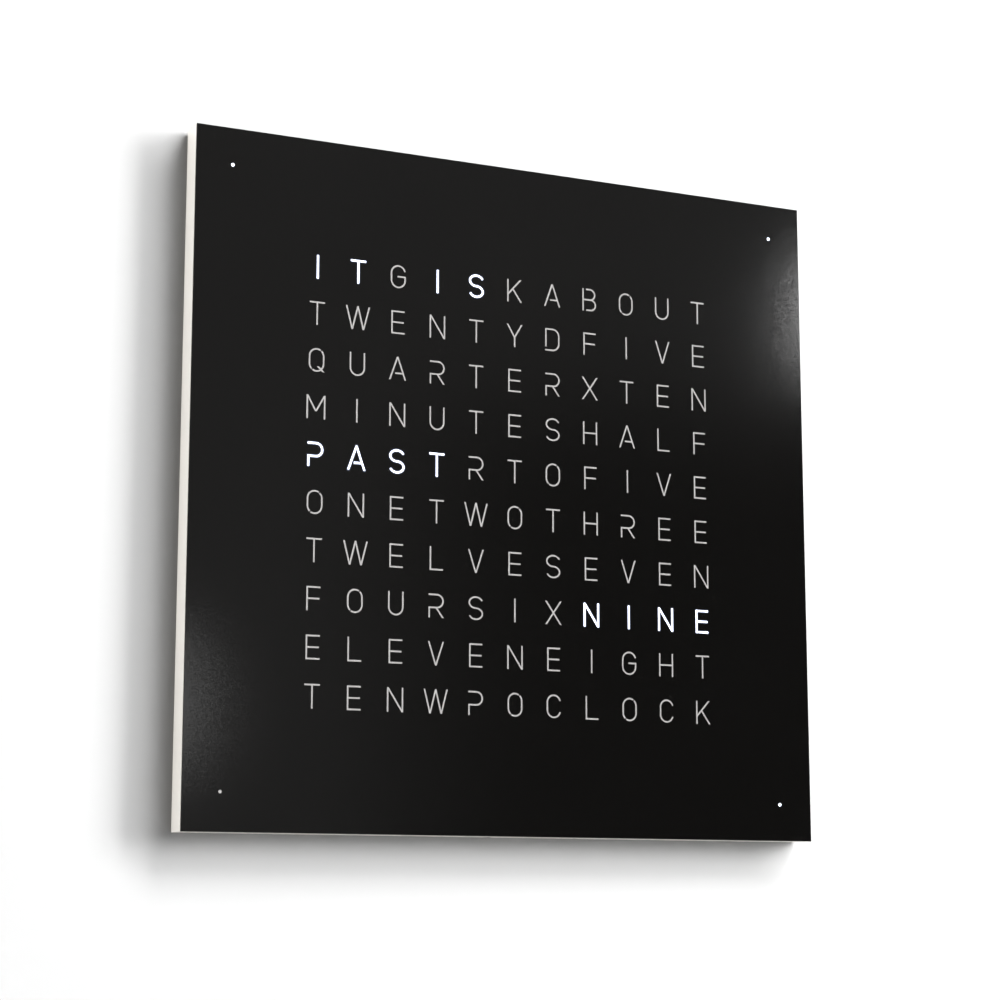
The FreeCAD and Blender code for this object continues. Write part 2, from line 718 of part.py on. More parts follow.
def make_minute_lights():
    """Each minute dot has its own small board and LED, glued into its pocket."""
    long = "Sizes.minute_board_side"
    for corner, (side, level) in CORNERS.items():
        x, z = f"({side}) * {DOT}", f"({level}) * {DOT}"
        slab(f"minute_board_{corner}", long, long, BOARD_BACK, "Sizes.board_thick", x, z)
    leds = new_piece("minute_leds")
    foot = rectangle(sketch_on(leds, out=BOARD_FRONT), "Sizes.led_side", "Sizes.led_side", DOT, DOT)
    mirror_both(leds, [pad(leds, foot, "Sizes.led_height")])


def make_minute_leads():
    """The four flat leads and the sockets at their two ends, on the backs of the boards."""
    step = f"Sizes.socket_long * {SLOPE}"
    near = f"({BOARD_TALL} / 2 - Sizes.socket_inset)"
    sockets = new_piece("lead_sockets")
    plugs = []
    for start in (near, DOT):
        outline = diagonal_corners(start, f"{start} + {step}", "Sizes.socket_wide / 2")
        sketch = polygon(sketch_on(sockets, out=f"{BOARD_BACK} - Sizes.socket_high"), outline)
        plugs.append(pad(sockets, sketch, "Sizes.socket_high"))
    mirror_both(sockets, plugs)
    leads = new_piece("minute_leads")
    outline = diagonal_corners(f"{near} + {step}", DOT, "Sizes.lead_width / 2")
    strip = polygon(sketch_on(leads, out=LEAD_BACK), outline)
    mirror_both(leads, [pad(leads, strip, "Sizes.lead_thick")])


def make_led_drivers():
    body = new_piece("led_drivers")
    foot = sketch_on(body, out=f"{BOARD_BACK} - Sizes.driver_high")
    rectangle(foot, "Sizes.driver_long", "Sizes.driver_wide", "Sizes.driver_across", "Sizes.driver_up")
    mirror_both(body, [pad(body, foot, "Sizes.driver_high")])


def make_controller():
    """The controller board, plugged on two headers behind the LED board, and the parts on its front."""
    up, front = "Sizes.control_up", CONTROL_FRONT
    slab("controller_board", "Sizes.control_wide", "Sizes.control_tall", CONTROL_BACK, "Sizes.board_thick",
         "0", up)
    headers = new_piece("board_headers")
    feet = sketch_on(headers, out=front)
    for side in SIDES.values():
        x = f"({side}) * (Sizes.control_wide / 2 - Sizes.header_inset)"
        rectangle(feet, "Sizes.header_wide", "Sizes.header_long", x, up)
    pad(headers, feet, "Sizes.header_high")
    slab("processor", "Sizes.processor_side", "Sizes.processor_side", front, "Sizes.processor_high",
         "0", f"{up} + Sizes.processor_up")
    slab("voltage_regulator", "Sizes.regulator_side", "Sizes.regulator_side", front, "Sizes.regulator_high",
         "-Sizes.regulator_left", f"{up} - Sizes.supply_down")
    make_cell_and_holder()
    make_crystal()
    capacitors = new_piece("smoothing_capacitors")
    rows = sketch_on(capacitors, out=front)
    for side in SIDES.values():
        x = f"-Sizes.capacitor_left + ({side}) * Sizes.capacitor_pitch / 2"
        rectangle(rows, "Sizes.capacitor_wide", "Sizes.capacitor_long", x, f"{up} - Sizes.supply_down")
    pad(capacitors, rows, "Sizes.capacitor_high")


def make_cell_and_holder():
    """A coin cell that keeps the time through a power cut, on its contact plate."""
    x, z = "Sizes.cell_right", "(Sizes.control_up - Sizes.cell_down)"
    slab("cell_holder", "Sizes.holder_side", "Sizes.holder_side", CONTROL_FRONT, "Sizes.holder_thick", x, z)
    cell = new_piece("coin_cell")
    disc = circle(sketch_on(cell, out=f"{CONTROL_FRONT} + Sizes.holder_thick"), "Sizes.cell_diameter", x, z)
    pad(cell, disc, "Sizes.cell_thick")


def make_crystal():
    """The quartz crystal in its round-ended can."""
    crystal = new_piece("quartz_crystal")
    foot = sketch_on(crystal, out=CONTROL_FRONT)
    rounded_rectangle(foot, "Sizes.crystal_long", "Sizes.crystal_wide", f"Sizes.crystal_wide * {ROUND_END}",
                      "-Sizes.crystal_left", "Sizes.control_up + Sizes.processor_up")
    pad(crystal, foot, "Sizes.crystal_high")


# ---------------------------------------------------------------- radio receiver
BAR_BACK = f"({BOARD_FRONT} - Sizes.fit_gap - Sizes.coil_thick - Sizes.bar_side)"


def make_radio():
    """A ferrite bar aerial in two saddles, and the receiver board that its coil feeds."""
    bar, up = "Sizes.bar_side", "Sizes.bar_up"
    slab("aerial_bar", "Sizes.bar_long", bar, BAR_BACK, bar, "0", up)
    outside = "(Sizes.bar_side + 2 * Sizes.coil_thick)"
    coil = slab("aerial_coil", "Sizes.coil_long", outside, f"{BAR_BACK} - Sizes.coil_thick", outside, "0", up)
    bore = rectangle(sketch_on(coil, out=BAR_BACK), "Sizes.coil_long + 2 * Sizes.cut_margin", bar, "0", up)
    cut(coil, bore, bar)
    saddles = new_piece("aerial_saddles")
    middle = "(Sizes.bar_long + Sizes.coil_long) / 4"
    block = sketch_on(saddles, out=f"{BAR_BACK} + Sizes.bar_side / 2")
    rectangle(block, "Sizes.saddle_wide", "Sizes.saddle_tall", middle, up)
    base = pad(saddles, block, f"{BOARD_FRONT} - {BAR_BACK} - Sizes.bar_side / 2")
    notch = sketch_on(saddles, out=f"{BAR_BACK} + Sizes.bar_side / 2")
    rectangle(notch, "Sizes.saddle_wide + 2 * Sizes.cut_margin", f"{bar} + 2 * Sizes.saddle_gap", middle, up)
    seat = cut(saddles, notch, f"{bar} / 2 + Sizes.saddle_gap")
    mirror_both(saddles, [base, seat], ["YZ_Plane"])
    slab("radio_board", "Sizes.radio_wide", "Sizes.radio_tall", BOARD_BACK, "Sizes.board_thick", "0",
         "Sizes.radio_up")
    top, foot = "(Sizes.radio_up - Sizes.radio_tall / 4)", f"({BOARD_TALL} / 2 - Sizes.flange_width)"
    slab("radio_lead", "Sizes.lead_width", f"{top} - {foot}", LEAD_BACK, "Sizes.lead_thick", "0",
         f"({top} + {foot}) / 2")


# ---------------------------------------------------------------- power inlet
def make_power_inlet():
    """The jack that the plug enters from the left, its centre pin and the flat lead to the controller."""
    jack = slab("power_jack", "Sizes.jack_long", "Sizes.jack_wide", "Sizes.jack_centre - Sizes.jack_wide / 2",
                "Sizes.jack_wide", JACK_MIDDLE, INLET_UP)
    mouth = sketch_on(jack, "YZ_Plane", out=JACK_FACE)
    cut(jack, circle(mouth, "Sizes.jack_bore", "-Sizes.jack_centre", INLET_UP), "Sizes.jack_bore_deep")
    pin = new_piece("power_jack_pin")
    root = sketch_on(pin, "YZ_Plane", out=f"{JACK_FACE} + Sizes.jack_bore_deep - Sizes.jack_pin_long")
    pad(pin, circle(root, "Sizes.jack_pin", "-Sizes.jack_centre", INLET_UP), "Sizes.jack_pin_long")
    foot = "(Sizes.control_up - Sizes.control_tall / 2)"
    slab("power_socket", "Sizes.power_socket_wide", "Sizes.socket_long", CONTROL_FRONT,
         "Sizes.power_socket_high", JACK_MIDDLE, f"{foot} + Sizes.socket_long / 2")
    slab("power_lead", "Sizes.power_lead_width", f"{foot} - {JACK_TOP}",
         f"{LEAD_DEPTH} - Sizes.power_lead_thick / 2", "Sizes.power_lead_thick", JACK_MIDDLE,
         f"({foot} + {JACK_TOP}) / 2")


# ---------------------------------------------------------------- buttons and light sensor
def make_buttons():
    """Three captive push buttons, each on the plunger of a small switch behind the side wall."""
    switches = new_piece("button_switches")
    blocks = sketch_on(switches, "YZ_Plane", out=SWITCH_BACK)
    wells = sketch_on(switches, "YZ_Plane", out=SWITCH_FACE)
    well = "Sizes.plunger_side + 4 * Sizes.screw_gap"
    for name, place in BUTTONS.items():
        height = button_height(place)
        rectangle(blocks, "Sizes.switch_side", "Sizes.switch_side", "-Sizes.button_depth", height)
        rectangle(wells, well, well, "-Sizes.button_depth", height)
        make_one_button(name, height)
    pad(switches, blocks, "Sizes.switch_high")
    cut(switches, wells, "Sizes.plunger_seat + 2 * Sizes.button_travel", forwards=False)


def make_one_button(name, height):
    cap = new_piece(f"{name}_button")
    flange = sketch_on(cap, "YZ_Plane", out=FLANGE_BACK)
    rectangle(flange, "Sizes.button_flange", "Sizes.button_flange", "-Sizes.button_depth", height)
    pad(cap, flange, "Sizes.button_flange_thick")
    stem = circle(sketch_on(cap, "YZ_Plane", out=FLANGE_BACK), "Sizes.button_diameter", "-Sizes.button_depth",
                  height)
    pad(cap, stem, f"{HALF} + Sizes.button_proud - {FLANGE_BACK}")
    plunger = new_piece(f"{name}_plunger")
    inner = f"{SWITCH_FACE} - Sizes.plunger_seat"
    rod = sketch_on(plunger, "YZ_Plane", out=inner)
    rectangle(rod, "Sizes.plunger_side", "Sizes.plunger_side", "-Sizes.button_depth", height)
    pad(plunger, rod, "Sizes.plunger_seat + Sizes.plunger_proud")


def make_button_board():
    """The upright switch board and the angle bracket that holds it in the side pocket."""
    back_edge = "(Sizes.side_pocket_deep - Sizes.bracket_thick - Sizes.fit_gap - Sizes.button_board_deep)"
    centre = f"({back_edge} + Sizes.button_board_deep / 2)"
    board = new_piece("button_board")
    pad(board, rectangle(sketch_on(board, "YZ_Plane", out=BUTTON_BOARD_BACK), "Sizes.button_board_deep",
                         "Sizes.button_board_tall", f"-{centre}", SIDE_POCKET_UP), "Sizes.board_thick")
    bracket = new_piece("button_bracket")
    outline = sketch_on(bracket, "XY_Plane", out=f"{SIDE_POCKET_UP} - Sizes.button_board_tall / 2")
    floor, top = "-Sizes.side_pocket_deep", f"-{back_edge}"
    step = "-Sizes.side_pocket_deep + Sizes.bracket_thick"
    left = f"{BRACKET_BACK} - Sizes.bracket_foot"
    polygon(outline, [
        (left, floor),
        (BUTTON_BOARD_BACK, floor),
        (BUTTON_BOARD_BACK, top),
        (BRACKET_BACK, top),
        (BRACKET_BACK, step),
        (left, step),
    ])
    pad(bracket, outline, "Sizes.button_board_tall")
    window = sketch_on(bracket, "YZ_Plane", out=f"{BRACKET_BACK} - Sizes.cut_margin")
    side = "Sizes.socket_wide + 2 * Sizes.fit_gap"
    rectangle(window, side, side, f"-({LEAD_BACK} + Sizes.lead_thick / 2)", SIDE_POCKET_UP)
    cut(bracket, window, "Sizes.bracket_thick + 2 * Sizes.cut_margin")


def make_button_lead():
    """The flat lead from the switch board, through its bracket and a groove, to the LED board."""
    start = f"({BOARD_WIDE} / 2 - Sizes.flange_width)"
    end = f"({BUTTON_BOARD_BACK} - Sizes.socket_high)"
    slab("button_lead", f"{end} - {start}", "Sizes.lead_width", LEAD_BACK, "Sizes.lead_thick",
         f"({start} + {end}) / 2", SIDE_POCKET_UP)
    sockets = new_piece("button_lead_sockets")
    inner = sketch_on(sockets, out=f"{BOARD_BACK} - Sizes.socket_high")
    middle = f"{start} - Sizes.socket_long / 2"
    rectangle(inner, "Sizes.socket_long", "Sizes.socket_wide", middle, SIDE_POCKET_UP)
    pad(sockets, inner, "Sizes.socket_high")
    outer = sketch_on(sockets, "YZ_Plane", out=end)
    middle = f"-({LEAD_BACK} + Sizes.lead_thick / 2)"
    rectangle(outer, "Sizes.socket_long", "Sizes.socket_wide", middle, SIDE_POCKET_UP)
    pad(sockets, outer, "Sizes.socket_high")


def make_light_sensor():
    """The sensor that dims the letters at night, and the clear lens that brings it the room's light."""
    sensor = new_piece("light_sensor")
    foot = sketch_on(sensor, "YZ_Plane", out=SWITCH_BACK)
    rectangle(foot, "Sizes.sensor_side", "Sizes.sensor_side", "-Sizes.button_depth", SENSOR_UP)
    pad(sensor, foot, "Sizes.sensor_high")
    lens = new_piece("sensor_lens")
    inner = f"({SWITCH_BACK} + Sizes.sensor_high + Sizes.fit_gap)"
    end = sketch_on(lens, "YZ_Plane", out=inner)
    circle(end, "Sizes.lens_diameter", "-Sizes.button_depth", SENSOR_UP)
    pad(lens, end, f"{HALF} - {inner}")


# ---------------------------------------------------------------- magnets and back
def make_magnets():
    body = new_piece("cover_magnets")
    bars = []
    for wide, tall, x, z in magnet_places():
        foot = rectangle(sketch_on(body, out="Sizes.case_depth - Sizes.magnet_thick"), wide, tall, x, z)
        bars.append(pad(body, foot, "Sizes.magnet_thick"))
    mirror_both(body, bars)


def make_back_cover():
    """The steel sheet that closes the back, with its two keyholes and the notch round the plug bay."""
    body = slab("back_cover", BACK_SIDE, BACK_SIDE, "0", "Sizes.back_thick")
    x, up = "Sizes.keyhole_spacing / 2", KEYHOLE_UP
    entry = cut(body, circle(sketch_on(body), "Sizes.keyhole_entry", x, up), "Sizes.back_thick")
    slot = sketch_on(body)
    long, middle = "Sizes.keyhole_rise + Sizes.keyhole_slot", f"{up} + Sizes.keyhole_rise / 2"
    rounded_rectangle(slot, "Sizes.keyhole_slot", long, f"Sizes.keyhole_slot * {ROUND_END}", x, middle)
    mirror_both(body, [entry, cut(body, slot, "Sizes.back_thick")], ["YZ_Plane"])
    top = f"({INLET_UP} + Sizes.bay_wide / 2 + Sizes.cut_margin)"
    foot = f"(-{BACK_SIDE} / 2 - Sizes.cut_margin)"
    hollow(body, "Sizes.bay_long + 2 * Sizes.cut_margin", f"{top} - {foot}", "Sizes.back_thick", "0",
           f"({top} + {foot}) / 2")
    mirror_both(body, [countersunk_hole(body, BACK_SCREW, "Sizes.back_screw_spread", "0", "Sizes.back_thick")])


def make_screws():
    """The wood screws of the back sheet, which cut their own way into the body."""
    body = new_piece("back_cover_screws")
    outline = flush_outline("0", "Sizes.back_screw_long")
    mirror_both(body, [turned(body, BACK_SCREW, "Sizes.back_screw_spread", outline)])


# ---------------------------------------------------------------- build, check and write
def build():
    fill_sheet()
    make_front_cover()
    make_cover_pins()
    make_housing()
    make_optics()
    make_light_grid()
    make_led_board()
    make_board_clips()
    make_letter_leds()
    make_minute_lights()
    make_minute_leads()
    make_led_drivers()
    make_controller()
    make_radio()
    make_power_inlet()
    make_buttons()
    make_button_board()
    make_button_lead()
    make_light_sensor()
    make_magnets()
    make_back_cover()
    make_screws()
    doc.recompute()


def check():
    """Stops if a feature failed, a cut removed nothing or a piece isn't a valid solid."""
    for item in doc.Objects:
        if "Invalid" in item.State or "Error" in item.State:
            raise RuntimeError(f"{item.Label} failed: {item.State}")
        if item.TypeId in ("PartDesign::Pocket", "PartDesign::Groove"):
            before, after = item.BaseFeature.Shape.Volume, item.Shape.Volume
            if before - after < 1e-3:
                raise RuntimeError(f"{item.Label} removed nothing")
    for body in pieces:
        if body.Shape.isNull() or not body.Shape.isValid() or not body.Shape.Solids:
            raise RuntimeError(f"{body.Label} is not a valid solid")


def write():
    os.makedirs("parts", exist_ok=True)
    for body in pieces:
        body.Shape.exportStep(f"parts/{body.Label}.step")
        print(f"{body.Label}: {len(body.Shape.Solids)} solid(s), {body.Shape.Volume:.1f} mm3")


build()
check()
write()
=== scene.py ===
# %% [markdown]
# # A wall clock that tells the time in lit words
#
# The clock is a thin black steel cover on a shallow white box. Letters are cut through the cover, and an LED
# behind each one lights it, so that the lit letters spell the time. The construction comes from the packed
# CAD model, which loads below as a fixed frame: every piece here is placed from it, in metres, with +X to the
# right, +Z up and the face towards -Y.

# %% Load the frame
import math

import bmesh
import bpy
from mathutils import Matrix, Vector
from mathutils.geometry import delaunay_2d_cdt


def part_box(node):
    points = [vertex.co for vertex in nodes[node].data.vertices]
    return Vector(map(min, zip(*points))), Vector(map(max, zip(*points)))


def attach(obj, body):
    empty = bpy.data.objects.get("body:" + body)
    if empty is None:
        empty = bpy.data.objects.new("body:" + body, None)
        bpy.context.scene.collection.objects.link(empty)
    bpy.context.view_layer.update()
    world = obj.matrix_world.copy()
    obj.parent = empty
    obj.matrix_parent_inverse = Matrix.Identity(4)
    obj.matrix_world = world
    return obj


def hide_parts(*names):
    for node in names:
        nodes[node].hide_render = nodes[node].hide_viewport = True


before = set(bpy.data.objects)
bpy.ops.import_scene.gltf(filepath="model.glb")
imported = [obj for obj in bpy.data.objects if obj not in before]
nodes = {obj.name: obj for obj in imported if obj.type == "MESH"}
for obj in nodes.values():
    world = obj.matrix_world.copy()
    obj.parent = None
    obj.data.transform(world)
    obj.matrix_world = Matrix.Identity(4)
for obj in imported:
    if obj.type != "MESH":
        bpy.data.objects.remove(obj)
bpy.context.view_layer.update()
MM = 0.001

# %% [markdown]
# ## Camera
#
# The camera stands a metre and a half in front of the clock, to its left and a little below the middle, and
# looks up at it. A long lens keeps the sides of the square nearly parallel.

# %% Place the camera
CAMERA_PLACE = Vector((-661.4, -1416.5, -277.7)) * MM
CAMERA_AIM = Vector((0.415779, 0.892544, 0.174621))
CAMERA_LENS, CAMERA_SENSOR = 85.15, 36.0
NEAREST_SEEN = 0.05

camera_data = bpy.data.cameras.new("camera")
camera_data.lens = CAMERA_LENS
camera_data.sensor_width = CAMERA_SENSOR
camera_data.clip_start = NEAREST_SEEN
camera = bpy.data.objects.new("camera", camera_data)
camera.location = CAMERA_PLACE
camera.rotation_euler = CAMERA_AIM.to_track_quat("-Z", "Y").to_euler()
bpy.context.scene.collection.objects.link(camera)
bpy.context.scene.camera = camera
print("camera", round(CAMERA_PLACE.length, 3), "m from the clock's middle, lens", CAMERA_LENS, "mm")

# %% [markdown]
# ## Small helpers
#
# A few things come up again and again: turning a list of points and faces into a mesh object, starting a
# material, adding a node with its values set, and doing sums with nodes. Each gets a short function, so
# that the cells below stay readable.

# %% Helpers for meshes and materials
def mesh_piece(name, points, faces, body):
    """A closed mesh from points and faces that rides on a body of the frame."""
    mesh = bpy.data.meshes.new(name)
    mesh.from_pydata(points, [], faces)
    mesh.validate()
    mesh.update()
    piece = bpy.data.objects.new(name, mesh)
    bpy.context.scene.collection.objects.link(piece)
    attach(piece, body)
    return piece


def start_material(name, colour, roughness, metallic=0.0):
    """A material with its Principled shader set up, and the node tree to add to."""
    material = bpy.data.materials.new(name)
    material.use_nodes = True
    tree = material.node_tree
    shader = tree.nodes["Principled BSDF"]
    shader.inputs["Base Color"].default_value = (*colour, 1.0)
    shader.inputs["Roughness"].default_value = roughness
    shader.inputs["Metallic"].default_value = metallic
    return material, tree, shader


def add_node(tree, kind, **settings):
    """A node whose properties and named inputs are set from the keywords."""
    node = tree.nodes.new(kind)
    for key, value in settings.items():
        if hasattr(node, key):
            setattr(node, key, value)
        else:
            node.inputs[key.replace("_", " ")].default_value = value
    return node


def add_math(tree, operation, first, second=None, clamp=False):
    """A math node between two sockets or numbers; gives back its result socket."""
    node = add_node(tree, "ShaderNodeMath", operation=operation, use_clamp=clamp)
    for socket, value in zip(node.inputs, (first, second)):
        if isinstance(value, (int, float)):
            socket.default_value = value
        elif value is not None:
            tree.links.new(value, socket)
    return node.outputs["Value"]


def dress(piece, material):
    """Gives a piece, or every slot of a CAD node, one material."""
    piece.data.materials.clear()
    piece.data.materials.append(material)


def dress_nodes(material, *names):
    """Gives several CAD nodes one material, by their names."""
    for name in names:
        dress(nodes[name], material)


# %% [markdown]
# ## The shapes of the letters
#
# The letters are stencils: a shape that would close round an island of metal, such as an O, keeps a bridge to
# hold it. Each letter is a few strokes of one width, so it is enough to say where the middle of each stroke
# runs. A stroke is either square at its ends or cut level with the top and foot of the line, as the slanted
# strokes of an A are. The widths of the letters are in millimetres.

# %% Sizes of the letter field
COLUMNS, ROWS = 11, 10
COLUMN_PITCH, ROW_PITCH = 28.25 * MM, 31.0 * MM
CAP, STROKE, BRIDGE = 15.7 * MM, 1.1 * MM, 1.7 * MM
HALF = STROKE / 2
WIDTHS = {"I": 1.1, "M": 13.0, "W": 17.0, "A": 12.2, "X": 12.0, "Y": 11.6, "N": 11.3, "K": 11.0, "V": 11.4}
WIDTHS.update({letter: 9.5 for letter in "EFL"})
WIDTHS.update({letter: 10.5 for letter in "BCPST"})
WIDTHS.update({letter: 10.8 for letter in "DGHOQRU"})
print("letter field", COLUMNS, "by", ROWS)
print("capitals", round(CAP / MM, 2), "mm, strokes", round(STROKE / MM, 2), "mm")

# %% Strokes of each letter
def arc(x, y, across, up, start, end):
    """Points along part of an ellipse, with a point about every 12 degrees."""
    count = max(2, round(abs(end - start) / 12))
    angles = [math.radians(start + (end - start) * i / count) for i in range(count + 1)]
    return [(x + across * math.cos(a), y + up * math.sin(a)) for a in angles]


def letter_strokes(letter):
    """The middle lines of a letter's strokes, from its lower left corner: (ends, points) pairs."""
    wide = WIDTHS[letter] * MM
    left, right, low, high = HALF, wide - HALF, HALF, CAP - HALF
    centre, middle = wide / 2, CAP / 2
    round_end = centre - HALF
    bowl = 0.27 * CAP
    waist = high - 2 * bowl
    lobe = (high - middle) / 2
    clear = STROKE + BRIDGE
    top_arc = (centre, high - round_end, round_end, round_end)
    foot_arc = (centre, low + round_end, round_end, round_end)
    stem = ("square", [(left, low), (left, high)])
    far_stem = ("square", [(right, low), (right, high)])
    top_bar = ("square", [(left, high), (right, high)])
    foot_bar = ("square", [(left, low), (right, low)])
    middle_bar = ("square", [(left, middle), (right - HALF, middle)])
    corner = 0.30 * CAP
    head = [(left, low), (left, waist)] + arc(right - bowl, high - bowl, bowl, bowl, -90, 90) + [(left, high)]
    upper_ring = arc(*top_arc, 62, 180) + arc(*foot_arc, 180, 222)
    lower_ring = arc(*foot_arc, 242, 360) + arc(*top_arc, 0, 42)
    bar_y = 0.29 * CAP
    left_leg_x = left + (centre - left) * bar_y / CAP
    shapes = {
        "A": [
            ("level", [(left, 0), (centre, CAP)]),
            ("level", [(right, 0), (centre, CAP)]),
            ("square", [(left_leg_x + clear, bar_y), (wide - left_leg_x - HALF, bar_y)]),
        ],
        "B": [
            stem,
            ("square", [(left + clear, high)] + arc(right - lobe - HALF, high - lobe, lobe, lobe, 90, -90)
             + [(left, middle)]),
            ("square", [(left, middle)] + arc(right - lobe, low + lobe, lobe, lobe, 90, -90)
             + [(left + clear, low)]),
        ],
        "C": [("square", arc(*top_arc, 20, 180) + arc(*foot_arc, 180, 340))],
        "D": [("square", [(left, low + clear), (left, high)]
               + arc(right - corner, high - corner, corner, corner, 90, 0)
               + arc(right - corner, low + corner, corner, corner, 0, -90) + [(left, low)])],
        "E": [stem, top_bar, middle_bar, foot_bar],
        "F": [stem, top_bar, middle_bar],
        "G": [("square", arc(*top_arc, 20, 180) + arc(*foot_arc, 180, 360)
               + [(right, middle), (centre, middle)])],
        "H": [stem, far_stem, ("square", [(left, middle), (right, middle)])],
        "I": [("square", [(centre, low), (centre, high)])],
        "K": [
            stem,
            ("level", [(left, 0.33 * CAP), (right - HALF, CAP)]),
            ("level", [(left + 0.31 * wide, 0.60 * CAP), (right, 0)]),
        ],
        "L": [stem, foot_bar],
        "M": [
            stem,
            far_stem,
            ("level", [(left, CAP), (centre, 0.32 * CAP)]),
            ("level", [(right, CAP), (centre, 0.32 * CAP)]),
        ],
        "N": [stem, far_stem, ("level", [(left, CAP), (right, 0)])],
        "O": [("square", upper_ring), ("square", lower_ring)],
        "P": [("square", head)],
        "Q": [
            ("square", upper_ring),
            ("square", lower_ring),
            ("level", [(centre + 0.08 * wide, 0.24 * CAP), (right, 0)]),
        ],
        "R": [("square", head), ("level", [(centre, waist), (right, 0)])],
        "S": [("square", arc(centre, high - lobe, round_end, lobe, 28, 270)
               + arc(centre, low + lobe, round_end, lobe, 90, -152)[1:])],
        "T": [top_bar, ("square", [(centre, low), (centre, high)])],
        "U": [("square", [(left, high)] + arc(*foot_arc, 180, 360) + [(right, high)])],
        "V": [("level", [(left, CAP), (centre, 0)]), ("level", [(right, CAP), (centre, 0)])],
        "W": [
            ("level", [(left, CAP), (0.27 * wide, 0)]),
            ("level", [(centre, CAP), (0.27 * wide, 0)]),
            ("level", [(centre, CAP), (0.73 * wide, 0)]),
            ("level", [(right, CAP), (0.73 * wide, 0)]),
        ],
        "X": [("level", [(left, 0), (right, CAP)]), ("level", [(right, 0), (left, CAP)])],
        "Y": [
            ("level", [(left, CAP), (centre, 0.42 * CAP)]),
            ("level", [(right, CAP), (centre, 0.42 * CAP)]),
            ("square", [(centre, low), (centre, 0.44 * CAP)]),
        ],
    }
    return shapes[letter]


print("strokes of an O", len(letter_strokes("O")), "of an M", len(letter_strokes("M")))

# %% [markdown]
# A stroke becomes an outline by stepping half its width to each side of every point. At an inner point the
# step follows the mitre between the two runs. A square end runs on by half the width; a level end is cut
# along the line, so its two corners lie beside the end point. A round end is only for the painted glow round
# a lit letter.

# %% Turn a stroke into an outline
SHARPEST_MITRE = 0.3
ROUND_END = (-60, -20, 20, 60)


def turned(way, degrees):
    """A direction in the plane, turned anticlockwise."""
    return Matrix.Rotation(math.radians(degrees), 2) @ way


def stroke_outline(ends, points, half=HALF):
    """The closed outline, anticlockwise, of a stroke of constant width along points."""
    path = [Vector(p) for p in points]
    if ends == "round":
        first, last = (path[1] - path[0]).normalized(), (path[-1] - path[-2]).normalized()
        nose = [path[-1] + turned(last, angle) * half for angle in ROUND_END]
        tail = [path[0] + turned(-first, angle) * half for angle in ROUND_END]
    if ends == "square":
        path[0] -= (path[1] - path[0]).normalized() * half
        path[-1] += (path[-1] - path[-2]).normalized() * half
    left, right = [], []
    for i, point in enumerate(path):
        before = (point - path[i - 1]).normalized() if i > 0 else None
        after = (path[i + 1] - point).normalized() if i < len(path) - 1 else None
        heading = before + after if before and after else before or after
        heading.normalize()
        across = Vector((-heading.y, heading.x))
        if before and after:
            reach = half / max(SHARPEST_MITRE, heading.dot(after))
        elif ends == "level":
            across, reach = Vector((-1 if heading.y > 0 else 1, 0)), half / abs(heading.y)
        else:
            reach = half
        left.append(point + across * reach)
        right.append(point - across * reach)
    if ends == "round":
        return [tuple(p) for p in right + nose + left[::-1] + tail]
    return [tuple(p) for p in right + left[::-1]]


print("the outline of an S has", len(stroke_outline(*letter_strokes("S")[0])), "points")

# %% [markdown]
# ## What the clock says
#
# Ten rows of eleven letters hold the English time words, each whole and in reading order, with a few spare
# letters between them. The lit words say that it is past nine, and three of the four corner dots say by how
# many minutes.

# %% Layout and lit words
LAYOUT = (
    "ITGISKABOUT",
    "TWENTYDFIVE",
    "QUARTERXTEN",
    "MINUTESHALF",
    "PASTRTOFIVE",
    "ONETWOTHREE",
    "TWELVESEVEN",
    "FOURSIXNINE",
    "ELEVENEIGHT",
    "TENWPOCLOCK",
)
LIT_WORDS = ((0, 0, 2), (0, 3, 2), (4, 0, 4), (7, 7, 4))
DOT_INSET, DOT_DIAMETER = 24.6 * MM, 2.2 * MM
UNLIT_DOT = (-1, -1)
# How far the painted glow on the coat reaches beyond a lit stroke.
PAINTED_GLOW_REACH = 0.75 * MM

lit_cells = {(row, start + i) for row, start, count in LIT_WORDS for i in range(count)}
cover_low, cover_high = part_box("front_cover")
cover_half = (cover_high.x - cover_low.x) / 2
FACE_Y, COVER_BACK_Y = cover_low.y, cover_high.y


def cell_middle(row, column):
    """Where the middle of a letter's cell lies on the face."""
    x = (column - (COLUMNS - 1) / 2) * COLUMN_PITCH
    z = ((ROWS - 1) / 2 - row) * ROW_PITCH
    return x, z


def letter_corner(row, column):
    """The lower left corner of the letter in a cell, from which its strokes are measured."""
    x, z = cell_middle(row, column)
    return x - WIDTHS[LAYOUT[row][column]] * MM / 2, z - CAP / 2


def openings():
    """Every outline that is cut through the cover, with whether light shows in it."""
    for row, letters in enumerate(LAYOUT):
        for column, letter in enumerate(letters):
            x, z = letter_corner(row, column)
            for ends, points in letter_strokes(letter):
                outline = stroke_outline(ends, points)
                yield [(px + x, pz + z) for px, pz in outline], (row, column) in lit_cells
    reach = cover_half - DOT_INSET
    for side in (-1, 1):
        for level in (-1, 1):
            ring = arc(side * reach, level * reach, DOT_DIAMETER / 2, DOT_DIAMETER / 2, 0, 360)[:-1]
            yield ring, (side, level) != UNLIT_DOT


def painted_glow_rims():
    """The outlines, a little outside each lit stroke, where the painted glow on the coat ends."""
    for row, column in sorted(lit_cells):
        x, z = letter_corner(row, column)
        for _, points in letter_strokes(LAYOUT[row][column]):
            yield [(px + x, pz + z) for px, pz in stroke_outline("round", points, HALF + PAINTED_GLOW_REACH)]


print("lit cells", len(lit_cells), "openings", len(list(openings())))
